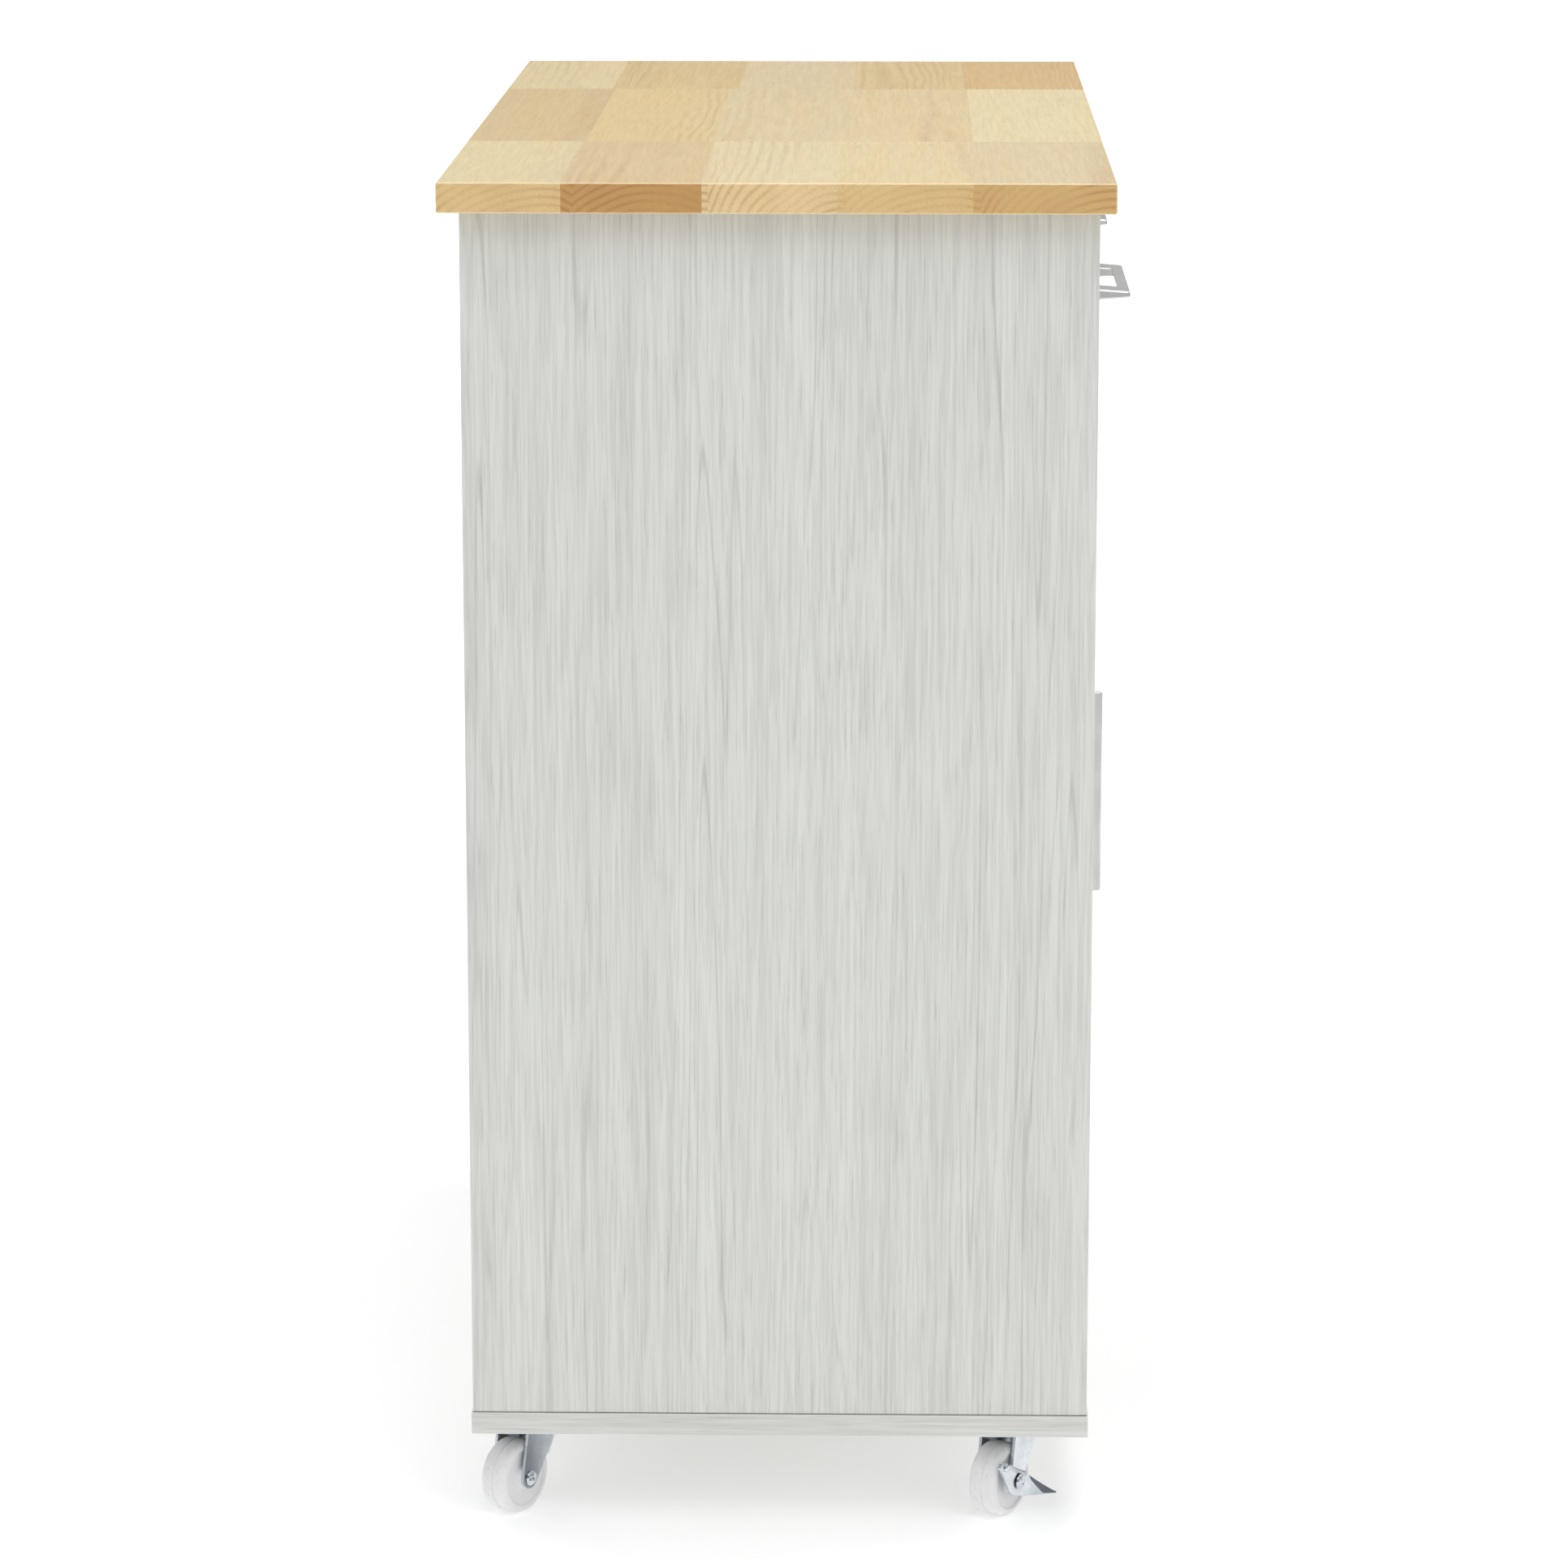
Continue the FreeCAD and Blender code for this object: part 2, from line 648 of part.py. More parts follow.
def wheel():
    """A moulded wheel turned about its axle: a tread with round shoulders and a fine groove
    at the mould's parting line, dished sides, and a hub that runs between the fork legs."""
    r, half = wheel_diameter / 2, wheel_width / 2
    dish = half - wheel_recess_depth
    hub = fork_inner - wheel_hub_play
    bore = axle_radius + running_clearance
    groove = wheel_groove_width / 2
    recess = r - wheel_rim_width
    bend = wheel_shoulder * (1 - math.sqrt(0.5))

    def at(radius, v):
        return V3(radius, v, 0)

    def line(a, b):
        return Part.makeLine(at(*a), at(*b))

    def shoulder(side):
        return Part.Arc(at(r, side * (half - wheel_shoulder)), at(r - bend, side * (half - bend)),
                        at(r - wheel_shoulder, side * half)).toShape()

    path = [line((bore, -hub), (wheel_hub_radius, -hub)),
            line((wheel_hub_radius, -hub), (wheel_hub_radius, -dish)),
            line((wheel_hub_radius, -dish), (recess, -dish)),
            line((recess, -dish), (recess, -half)),
            line((recess, -half), (r - wheel_shoulder, -half)),
            shoulder(-1),
            line((r, wheel_shoulder - half), (r, -groove)),
            line((r, -groove), (r - wheel_groove_depth, 0)),
            line((r - wheel_groove_depth, 0), (r, groove)),
            line((r, groove), (r, half - wheel_shoulder)),
            shoulder(1),
            line((r - wheel_shoulder, half), (recess, half)),
            line((recess, half), (recess, dish)),
            line((recess, dish), (wheel_hub_radius, dish)),
            line((wheel_hub_radius, dish), (wheel_hub_radius, hub)),
            line((wheel_hub_radius, hub), (bore, hub)),
            line((bore, hub), (bore, -hub))]
    solid = Part.Face(Part.Wire(path)).revolve(V3(0, 0, 0), Y, 360)
    solid.translate(V3(caster_trail, 0, z_axle))
    return solid


def axle(outer_face):
    """Riveted axle with a domed head against each side. outer_face is the far face it clamps."""
    at = V3(caster_trail, 0, z_axle)
    near_face = fork_outer
    solid = rod(at - Y * near_face, Y, axle_radius, near_face + outer_face)
    for side, face in ((-1, near_face), (1, outer_face)):
        head = rod(at + Y * (side * face), Y * side, axle_head_radius, axle_head_height)
        middle = face + axle_head_height / 2
        rim = [e for e in head.Edges if side * e.CenterOfMass.y > middle and len(e.Vertexes) == 1]
        solid = solid.fuse(head.makeFillet(axle_head_dome, rim))
    return solid.removeSplitter()


def brake_lever():
    """A kite-shaped plate that rocks on the axle outside the fork. A stud at its rear corner
    bears on the wheel's rim, and its front end is bent out into a pointed foot pedal."""
    low, high = lever_v

    def at(point, v):
        return V3(caster_trail + point[0], v, z_axle + point[1])

    plate = prism([at(point, low) for point in lever_outline], Y * lever_sheet)
    plate = plate.makeFillet(lever_corner, edges_along(plate, Y, lambda p: True))
    upper, lower = at(pedal_root_high, high), at(pedal_root_low, high)
    tip = at(pedal_tip, high + pedal_reach)
    tip_half = (upper - lower) * pedal_tip_share
    outward = (upper - lower).cross(tip - lower).normalize() * lever_sheet
    pedal = prism([upper, lower, tip - tip_half, tip + tip_half], outward)
    stud_length = low - wheel_width / 2 - lever_play
    stud = rod(at(stud_at, low) - Y * stud_length, Y, stud_radius,
               stud_length + 2 * lever_sheet)
    bore = rod(V3(caster_trail, 0, z_axle), Y, axle_radius + running_clearance, 3 * fork_outer)
    return plate.fuse([pedal, stud]).cut(bore).removeSplitter()


def caster(name):
    """Every piece of one caster, turned and moved under its corner."""
    braked = name.startswith("front")
    clamped = lever_v[1] + lever_play if braked else fork_outer
    turning = {"caster_fork_": fork(), "caster_wheel_": wheel(), "caster_axle_": axle(clamped)}
    if braked:
        turning["brake_lever_"] = brake_lever()
    cx, cy = caster_centres()[name]
    made = {"caster_plate_" + name: caster_plate()}
    for prefix, solid in turning.items():
        solid.rotate(V3(0, 0, 0), Z, caster_turn[name])
        made[prefix + name] = solid
    for solid in made.values():
        solid.translate(V3(cx, cy, 0))
    holes = caster_screws(screw_clearance)
    made["caster_plate_" + name] = made["caster_plate_" + name].cut(Part.makeCompound(holes))
    return made


# ---------------------------------------------------------------- the whole cart

def all_pieces():
    pieces = {
        "worktop": worktop(),
        "side_panel_left": side_panel(-1),
        "side_panel_right": side_panel(1),
        "base_board": base_board(),
        "centre_divider": centre_divider(),
        "back_panel": back_panel(),
        "front_stretcher": stretcher(y_front_stretcher),
        "rear_stretcher": stretcher(y_back_inner - stretcher_width),
        "open_bay_shelf": shelf("left", y_front + open_shelf_setback),
        "cupboard_shelf": shelf("right", y_door_back + closed_shelf_setback),
        "shelf_pins": Part.makeCompound(shelf_pins()),
        "worktop_screws": Part.makeCompound(worktop_screws()),
        "base_screws": Part.makeCompound(base_screws()),
        "caster_screws": Part.makeCompound(caster_screws()),
        "frame_hinge_leaves": Part.makeCompound([hinge_leaf(z, True) for z in hinge_levels]),
        "hinge_pins": Part.makeCompound([hinge_pin(z) for z in hinge_levels]),
        "magnetic_catch": magnetic_catch(),
    }
    for bay in bays:
        pieces["drawer_deck_" + bay] = drawer_deck(bay)
        pieces["slide_rails_" + bay] = Part.makeCompound(fixed_rails(bay))
        pieces.update(drawer(bay))
    pieces.update(door_pieces())
    for name in caster_turn:
        pieces.update(caster(name))
    return pieces


def main():
    os.makedirs("parts", exist_ok=True)
    pieces = all_pieces()
    for name, shape in pieces.items():
        if not shape.isValid():
            print("not valid:", name)
        shape.exportStep("parts/" + name + ".step")
    print(len(pieces), "pieces written")


if __name__ == "__main__":
    main()
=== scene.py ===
# %% [markdown]
# # A rolling kitchen island, seen end-on
#
# The cart is a laminated cabinet under a butcher-block top, on four swivel casters. Its
# boards, runners, hinges and screws arrive as finished CAD solids, so this lesson has three
# jobs: give each of those a finish that looks like the real one, rebuild the small curved
# parts (wheels, forks, brake levers, rivets and pulls) as clean surfaces, and light the
# whole thing the way a catalogue studio would.
#
# Everything is in metres: +Z is up, the floor is at Z = 0, +X runs along the cart, and the
# drawers and the door face -Y.

# %% The fixed frame
import json
import math

import bmesh
import bpy
import numpy as np
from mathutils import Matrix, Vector


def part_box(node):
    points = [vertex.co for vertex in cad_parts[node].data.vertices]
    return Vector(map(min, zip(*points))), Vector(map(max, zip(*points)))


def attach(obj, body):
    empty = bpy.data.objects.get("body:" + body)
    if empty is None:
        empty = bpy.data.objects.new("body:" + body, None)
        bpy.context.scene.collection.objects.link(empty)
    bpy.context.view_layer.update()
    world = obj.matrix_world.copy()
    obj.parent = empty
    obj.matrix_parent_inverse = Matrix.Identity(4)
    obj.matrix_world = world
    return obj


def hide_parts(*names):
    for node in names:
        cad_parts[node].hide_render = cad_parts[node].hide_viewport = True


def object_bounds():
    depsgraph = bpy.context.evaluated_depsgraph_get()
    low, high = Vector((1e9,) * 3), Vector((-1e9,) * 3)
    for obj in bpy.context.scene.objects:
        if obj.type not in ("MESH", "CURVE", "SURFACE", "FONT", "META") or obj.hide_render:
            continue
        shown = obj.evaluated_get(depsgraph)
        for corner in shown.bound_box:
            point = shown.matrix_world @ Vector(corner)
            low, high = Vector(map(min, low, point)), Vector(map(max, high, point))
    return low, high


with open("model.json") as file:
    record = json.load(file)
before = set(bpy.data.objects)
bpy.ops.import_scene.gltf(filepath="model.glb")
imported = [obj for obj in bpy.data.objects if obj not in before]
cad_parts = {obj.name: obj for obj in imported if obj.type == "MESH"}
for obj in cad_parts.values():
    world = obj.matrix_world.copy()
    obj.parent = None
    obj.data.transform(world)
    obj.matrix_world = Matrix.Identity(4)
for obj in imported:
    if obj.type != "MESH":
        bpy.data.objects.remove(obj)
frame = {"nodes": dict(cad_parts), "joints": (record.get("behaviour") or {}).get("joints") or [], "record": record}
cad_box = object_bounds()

scene = bpy.context.scene
record = frame["record"]
joints = {joint["name"]: joint for joint in frame["joints"]}
body_of_node = {node: body for body, nodes in record["behaviour"]["bodies"].items()
                for node in nodes}
slot_of_node = {part["node"]: part["material_slot"] for part in record["subparts"]}
mm = 0.001
print("CAD nodes:", len(frame["nodes"]), "box:", [round(x, 3) for x in cad_box[1] - cad_box[0]])

# %% [markdown]
# ## Camera
#
# A long lens from about four metres makes the near end look almost square-on, while the top
# still narrows with distance. A shifted lens would keep the uprights exactly parallel, but
# a camera that simply looks down a little needs no shift, so it also frames every other
# view well. Depth of field stays off: the whole object is meant to be sharp.

# %% Camera
camera_at = Vector((-4.086, -0.071, 1.294))
camera_turn, camera_dip = math.radians(1.17), math.radians(12.07)
camera_lens = 129.6

looking = Vector((math.cos(camera_turn) * math.cos(camera_dip),
                  math.sin(camera_turn) * math.cos(camera_dip),
                  -math.sin(camera_dip)))
camera_data = bpy.data.cameras.new("camera")
camera_data.lens = camera_lens
camera_data.clip_end = 100.0
camera = bpy.data.objects.new("camera", camera_data)
camera.location = camera_at
camera.rotation_mode = "QUATERNION"
camera.rotation_quaternion = looking.to_track_quat("-Z", "Y")
scene.collection.objects.link(camera)
scene.camera = camera
print("camera lens:", camera_lens, "mm, dip:", round(math.degrees(camera_dip), 1), "degrees")

# %% [markdown]
# ## Shader sums written as Python
#
# A procedural finish is arithmetic on numbers that vary over the surface. Wiring Math nodes
# by hand hides the formula, so `Value` wraps one socket and overloads the operators: the
# line `0.4 + 0.1 * streaks` adds the two Math nodes it needs. Colours and vectors are never
# put through those operators, because a Math node keeps only one number of them. Every
# other node comes from `Finish.node`, which takes its type, its settings, and then the
# values or links of its sockets.

# %% Value and Finish
class Value:
    """One output of a shader node. Sums with it add Math nodes to its material."""

    def __init__(self, finish, socket):
        self.finish = finish
        self.socket = socket

    def __add__(self, other):
        return self.finish.math("ADD", self, other)

    def __mul__(self, other):
        return self.finish.math("MULTIPLY", self, other)

    def __sub__(self, other):
        return self.finish.math("SUBTRACT", self, other)

    def __rsub__(self, other):
        return self.finish.math("SUBTRACT", other, self)

    __radd__ = __add__
    __rmul__ = __mul__


class Finish:
    """A material being built from nodes, with the places and facings it reads."""

    def __init__(self, name):
        self.material = bpy.data.materials.new(name)
        self.material.use_nodes = True
        self.tree = self.material.node_tree
        self.tree.nodes.clear()
        self.place = self.node("ShaderNodeTexCoord", out="Object")
        self.facing = self.node("ShaderNodeTexCoord", out="Normal")

    def node(self, kind, settings=None, sockets=None, out=0):
        """Adds a node: its settings first, then its sockets. out picks the output given back."""
        made = self.tree.nodes.new(kind)
        for name, value in (settings or {}).items():
            if name == "stops":
                self.set_stops(made.color_ramp, value)
            elif name == "interpolation":
                made.color_ramp.interpolation = value
            else:
                setattr(made, name, value)
        for name, value in (sockets or {}).items():
            if isinstance(value, Value):
                self.tree.links.new(value.socket, made.inputs[name])
            else:
                made.inputs[name].default_value = value
        return Value(self, made.outputs[out])

    def set_stops(self, ramp, stops):
        """Gives a colour ramp its stops, each a place from 0 to 1 and a colour."""
        for at, colour in stops[2:]:
            ramp.elements.new(at)
        for element, (at, colour) in zip(ramp.elements, stops):
            element.position = at
            element.color = colour

    def math(self, operation, *numbers):
        return self.node("ShaderNodeMath", {"operation": operation}, dict(enumerate(numbers)))

    def vector_math(self, operation, *vectors):
        return self.node("ShaderNodeVectorMath", {"operation": operation}, dict(enumerate(vectors)))

    def vector(self, x=0.0, y=0.0, z=0.0):
        return self.node("ShaderNodeCombineXYZ", sockets={0: x, 1: y, 2: z})

    def axes(self, vector):
        """The three numbers of a vector."""
        return [self.node("ShaderNodeSeparateXYZ", sockets={0: vector}, out=i) for i in range(3)]

    def stretched(self, vector, by):
        return self.vector_math("MULTIPLY", vector, by)

    def noise(self, vector, scale=1.0, detail=2.0, roughness=0.5):
        """Smooth noise, mostly from 0.3 to 0.7."""
        return self.node("ShaderNodeTexNoise", sockets={
            "Vector": vector, "Scale": scale, "Detail": detail, "Roughness": roughness})

    def rise(self, value, low, high):
        """0 below low, 1 above high, and a smooth climb between them."""
        return self.node("ShaderNodeMapRange", {"interpolation_type": "SMOOTHSTEP"}, {
            "Value": value, "From Min": low, "From Max": high})

    def blend(self, share, a, b, way="MIX"):
        """Colour a where share is 0, colour b where it is 1."""
        settings = {"data_type": "RGBA", "blend_type": way}
        return self.node("ShaderNodeMix", settings, {0: share, 6: a, 7: b}, out=2)

    def either(self, share, a, b):
        """Vector a where share is 0, vector b where it is 1."""
        return self.node("ShaderNodeMix", {"data_type": "VECTOR"}, {0: share, 4: a, 5: b}, out=1)

    def bump(self, height, distance, strength=1.0):
        """height runs from 0 to 1 over a real depth of distance metres."""
        return self.node("ShaderNodeBump", sockets={
            "Strength": strength, "Distance": distance, "Height": height})

    def done(self, colour, roughness, normal=None, **constants):
        """Wires the surface. The constants are set on the shader's own sockets."""
        sockets = {"Base Color": colour, "Roughness": roughness}
        sockets.update({name.replace("_", " "): value for name, value in constants.items()})
        if normal is not None:
            sockets["Normal"] = normal
        surface = self.node("ShaderNodeBsdfPrincipled", sockets=sockets)
        output = self.tree.nodes.new("ShaderNodeOutputMaterial")
        self.tree.links.new(surface.socket, output.inputs["Surface"])
        return self.material


def paint(red, green, blue):
    """A colour given as on a paint card, from 0 to 255, as the linear colour that light needs."""
    share = np.array([red, green, blue]) / 255.0
    linear = np.where(share <= 0.04045, share / 12.92, ((share + 0.055) / 1.055) ** 2.4)
    return (*linear.tolist(), 1.0)


print("shader kit ready")

# %% [markdown]
# ## Pale wood-grain laminate
#
# The boards are particleboard under a printed, lightly embossed paper. The print has four
# layers: broad soft bands, long thin growth lines that bend a little and fade in and out,
# short fine dashes for pores, and pale flecks between them. All of them are noise that is
# stretched along the grain. The growth lines are the contour lines of a slowly varying
# noise, which makes them run nearly parallel, close up and part like real ones.
#
# The grain runs upright on panels and doors and lengthwise on flat boards. A board's sawn
# ends carry edge tape with its own grain, so on the ends of a lengthwise board the stretch
# turns to run along the tape. The bevelled arrises, found where the surface faces no axis,
# carry a painted highlight: they are a touch paler. Painted shade darkens the joint where the
# upright boards stand on the base, so their lowest millimetre is dark.

# %% Laminate
base_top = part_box("base_board")[1].z
seam_low, seam_high = base_top + 0.2 * mm, base_top + 1.3 * mm
grain_length = 0.03  # the noise's squeeze along the grain


# painted highlight: this mask picks the bevelled arrises, which the finishes paint paler
def arris_highlight_of(finish):
    """1 on bevels, 0 on faces that look straight along an axis."""
    x, y, z = [finish.math("ABSOLUTE", part) for part in finish.axes(finish.facing)]
    straightest = finish.math("MAXIMUM", finish.math("MAXIMUM", x, y), z)
    return 1.0 - finish.rise(straightest, 0.80, 0.95)


def laminate(name, grain, light=(229, 230, 225), shade=(190, 190, 185)):
    """Printed wood-grain paper with the grain along axis number grain."""
    f = Finish(name)
    place = f.stretched(f.place, [grain_length if axis == grain else 1.0 for axis in range(3)])
    if grain != 2:
        facing_end = f.rise(f.math("ABSOLUTE", f.axes(f.facing)[grain]), 0.5, 0.7)
        on_tape = f.stretched(f.place, [grain_length if axis == 1 - grain else 1.0 for axis in range(3)])
        place = f.either(facing_end, place, on_tape)
    sway = 0.030 * (f.noise(place, 7.0, detail=1.0) - 0.5)
    place = f.vector_math("ADD", place, f.vector(sway, sway, sway))

    bands = f.rise(f.noise(place, 45.0, detail=3.0), 0.30, 0.70)
    field = f.noise(place, 16.0, detail=2.5, roughness=0.45)
    rings = f.math("PINGPONG", 21.0 * field, 0.5)
    fading = f.rise(f.noise(place, 38.0, detail=1.0), 0.38, 0.62)
    line = (1.0 - f.rise(rings, 0.0, 0.085)) * fading
    fine = f.rise(f.noise(place, 420.0, detail=2.0, roughness=0.6), 0.35, 0.68)
    dashes = f.rise(f.noise(place, 900.0, detail=1.0), 0.58, 0.72)
    flecks = f.rise(f.noise(f.stretched(place, (1.3, 1.3, 1.3)), 700.0, detail=1.0), 0.62, 0.75)

    dark = 0.20 * bands + 0.44 * line + 0.32 * fine + 0.30 * dashes - 0.12 * flecks
    colour = f.blend(dark, paint(*light), paint(*shade))
    # painted highlight: the bevelled arrises are painted paler
    colour = f.blend(0.5 * arris_highlight_of(f), colour, paint(236, 237, 234))
    if grain == 2:
        # painted shade in the joint: the lowest millimetre of an upright board is darkened
        painted_seam_shade = 1.0 - f.rise(f.axes(f.place)[2], seam_low, seam_high)
        colour = f.blend(0.8 * painted_seam_shade, colour, paint(92, 91, 88))
    roughness = 0.46 + 0.10 * dark
    relief = f.bump(1.0 - (0.5 * dashes + 0.3 * fine + 0.4 * line), 0.06 * mm, 0.7)
    return f.done(colour, roughness, relief, Specular_IOR_Level=0.35)


finishes = {
    "laminate_upright": laminate("laminate_upright", 2),
    "laminate_lengthwise": laminate("laminate_lengthwise", 0),
}
print("laminates:", list(finishes))

# %% [markdown]
# ## Finger-jointed rubberwood
#
# The top is glued up from short staves: five across the depth, in three lengths that meet
# end to end in zigzag finger joints. Each stave is a different piece of tree, so each has its
# own tone, its own growth rings and its own pores. One shader holds them all. Constant
# colour ramps across the depth give the staves their tones, and two zigzag thresholds along
# the length pick which ramp is in force, so the joints come out as real teeth.
#
# The rings are worked out as in a log: their distance from a pith line that lies above or
# below the board. Lengthwise faces then show drawn-out figure, and the ends show arcs.

# %% Rubberwood
wood_low, wood_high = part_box("worktop")
wood_length, wood_depth = wood_high.x - wood_low.x, wood_high.y - wood_low.y
joint_places = (wood_low.x + 0.296 * wood_length, wood_low.x + 0.731 * wood_length)
finger_pitch, finger_reach = 4.4 * mm, 7.0 * mm
glue_line = 0.3 * mm
stave_width, ring_spacing = 87.6 * mm, 2.6 * mm
stave_edges = ((0, 80, 170, 258, 344), (0, 81, 169, 263, 349), (0, 80, 175, 262, 347))
stave_tones = (
    ((231, 215, 169), (223, 199, 152), (233, 217, 173), (233, 214, 166), (227, 209, 168)),
    ((220, 195, 146), (228, 204, 150), (227, 208, 164), (229, 208, 161), (235, 220, 174)),
    ((229, 212, 166), (222, 197, 144), (224, 206, 165), (224, 200, 148), (221, 190, 135)),
)
end_tones = ((231, 199, 143), (203, 158, 98), (239, 211, 158), (229, 197, 140), (218, 181, 121))


def stave_ramp(finish, across, edges, tones):
    """One tone for each stave, changing sharply at the stave edges."""
    stops = [(edge * mm / wood_depth, paint(*tone)) for edge, tone in zip(edges, tones)]
    return finish.node("ShaderNodeValToRGB", {"interpolation": "CONSTANT", "stops": stops},
                       {"Fac": across})


def rubberwood(name):
    f = Finish(name)
    x, y, z = f.axes(f.place)
    across = (1.0 / wood_depth) * (wood_high.y - y)
    teeth = (2 * finger_reach / finger_pitch) * f.math("PINGPONG", y, finger_pitch / 2)
    after_first, after_second = [f.rise(x + teeth, at, at + glue_line) for at in joint_places]

    rows = [stave_ramp(f, across, edges, tones) for edges, tones in zip(stave_edges, stave_tones)]
    tone = f.blend(after_second, f.blend(after_first, rows[0], rows[1]), rows[2])
    seed = f.node("ShaderNodeTexWhiteNoise", sockets={"Vector": tone}, out="Color")
    own = f.axes(seed)

    facing_end = f.rise(f.math("ABSOLUTE", f.axes(f.facing)[0]), 0.5, 0.75)
    end_tone = stave_ramp(f, across, stave_edges[0], end_tones)
    tone = f.blend(facing_end, tone, end_tone)

    # each stave reads the noise somewhere else
    shifted = f.vector_math("ADD", f.place, f.stretched(seed, (3.0, 3.0, 3.0)))
    drawn_out = f.stretched(shifted, (0.05, 1.0, 1.0))
    wander = f.noise(f.stretched(shifted, (0.25, 1.0, 1.0)), 14.0, detail=2.0) - 0.5
    pith_y = 0.10 * (own[0] - 0.5)
    pith_z = 0.03 + 0.05 * own[1]
    local_y = f.math("WRAP", wood_high.y - y, 0.0, stave_width) - stave_width / 2
    from_pith_y = local_y - pith_y + 0.030 * wander
    from_pith_z = (z - wood_low.z) + pith_z * (2.0 * f.rise(own[2], 0.45, 0.55) - 1.0)
    radius = f.math("SQRT", from_pith_y * from_pith_y + from_pith_z * from_pith_z)
    rings = f.math("PINGPONG", radius + 0.004 * wander, ring_spacing)
    late_wood = f.rise(rings, 0.8 * mm, ring_spacing)
    ring_strength = f.rise(f.noise(drawn_out, 12.0, detail=1.0), 0.45, 0.62)
    drawn_rings = late_wood * ring_strength

    bands = f.rise(f.noise(drawn_out, 60.0, detail=3.0), 0.30, 0.70)
    fibres = f.rise(f.noise(drawn_out, 380.0, detail=3.0, roughness=0.6), 0.32, 0.68)
    pore_patches = f.rise(f.noise(f.stretched(shifted, (0.4, 1.0, 1.0)), 26.0), 0.42, 0.62)
    pores = f.rise(f.noise(f.stretched(shifted, (0.12, 1.0, 1.0)), 1000.0, detail=1.0), 0.62, 0.74)
    pores = pores * pore_patches
    end_pores = f.rise(f.noise(f.stretched(shifted, (1.0, 0.4, 1.0)), 1200.0, detail=2.0), 0.57, 0.70)
    end_cloud = f.rise(f.noise(shifted, 30.0, detail=2.0), 0.35, 0.65)

    long_figure = 0.22 * drawn_rings + 0.16 * bands + 0.20 * fibres + 0.40 * pores
    end_rings = late_wood * (0.3 + 0.7 * ring_strength)
    end_figure = 0.50 * end_rings + 0.26 * end_pores + 0.16 * end_cloud
    figure = long_figure + facing_end * (end_figure - long_figure)
    colour = f.blend(figure, tone, f.blend(0.62, tone, paint(150, 92, 38)))
    # painted highlight: the rounded arrises of the top are painted paler
    colour = f.blend(0.6 * arris_highlight_of(f), colour, paint(255, 236, 198))

    roughness = 0.38 + 0.12 * bands + 0.10 * pores
    relief = f.bump(1.0 - (0.8 * pores + 0.25 * drawn_rings), 0.08 * mm, 0.6)
    return f.done(colour, roughness, relief, Specular_IOR_Level=0.35, Coat_Weight=0.08,
                  Coat_Roughness=0.3)


finishes["rubberwood"] = rubberwood("rubberwood")
print("rubberwood staves:", sum(len(row) for row in stave_tones))

# %% [markdown]
# ## Plain boards
#
# Drawer boxes and stretchers are covered in plain white melamine with a faint pebble
# texture, and the drawer bottoms are painted hardboard, whose fibres show as a soft mottle.
# Both need only a few nodes, because they are seen in passing through an open drawer.

# %% Melamine, hardboard and catch plastic
def melamine(name):
    f = Finish(name)
    pebble = f.noise(f.place, 900.0, detail=2.0)
    cloud = f.rise(f.noise(f.place, 9.0, detail=3.0), 0.3, 0.7)
    colour = f.blend(0.5 * cloud + 0.3 * pebble, paint(232, 232, 228), paint(218, 218, 213))
    # painted highlight: the bevelled arrises are painted paler
    colour = f.blend(0.4 * arris_highlight_of(f), colour, paint(240, 240, 238))
    return f.done(colour, 0.42 + 0.1 * pebble, f.bump(pebble, 0.05 * mm, 0.5))


def hardboard(name):
    f = Finish(name)
    fibres = f.noise(f.stretched(f.place, (1.0, 3.0, 1.0)), 260.0, detail=4.0, roughness=0.7)
    colour = f.blend(f.rise(fibres, 0.3, 0.7), paint(226, 224, 217), paint(206, 203, 195))
    return f.done(colour, 0.6 + 0.1 * fibres, f.bump(fibres, 0.1 * mm, 0.5))


def catch_plastic(name):
    f = Finish(name)
    grain = f.noise(f.place, 1400.0, detail=2.0)
    colour = f.blend(grain, paint(236, 236, 234), paint(222, 222, 220))
    return f.done(colour, 0.40 + 0.15 * grain, f.bump(grain, 0.04 * mm, 0.5))


finishes["drawer_board"] = melamine("melamine")
finishes["hardboard"] = hardboard("painted_hardboard")
finishes["white_plastic"] = catch_plastic("catch_plastic")
print("plain finishes:", len(finishes))

# %% [markdown]
# ## Metals
#
# Three metals meet on the cart. The pulls are cast zinc with a satin nickel coat, brushed
# along the bar. The casters are pressed steel with a bright bluish zinc coat, which is
# never even: it clouds, and fine drawing lines from the press run through it. Screws and
# runners are the same zinc, a little duller.
#
# A metal shows mainly what it reflects, so colour variation stays small and most of the
# work is done by roughness and by very shallow bumps.

# %% Metals
def zinc(name, light, shade, gloss, flow=(1.0, 1.0, 0.12)):
    """Zinc-plated steel: cloudy colour, uneven gloss and fine drawing lines along flow."""
    f = Finish(name)
    clouds = f.rise(f.noise(f.place, 70.0, detail=4.0, roughness=0.6), 0.3, 0.7)
    spangle = f.noise(f.place, 420.0, detail=2.0)
    lines = f.noise(f.stretched(f.place, flow), 1600.0, detail=2.0)
    colour = f.blend(0.65 * clouds + 0.35 * spangle, paint(*light), paint(*shade))
    roughness = gloss + 0.07 * clouds + 0.06 * lines
    relief = f.bump(0.5 * lines + 0.5 * spangle, 0.04 * mm, 0.35)
    return f.done(colour, roughness, relief, Metallic=1.0)


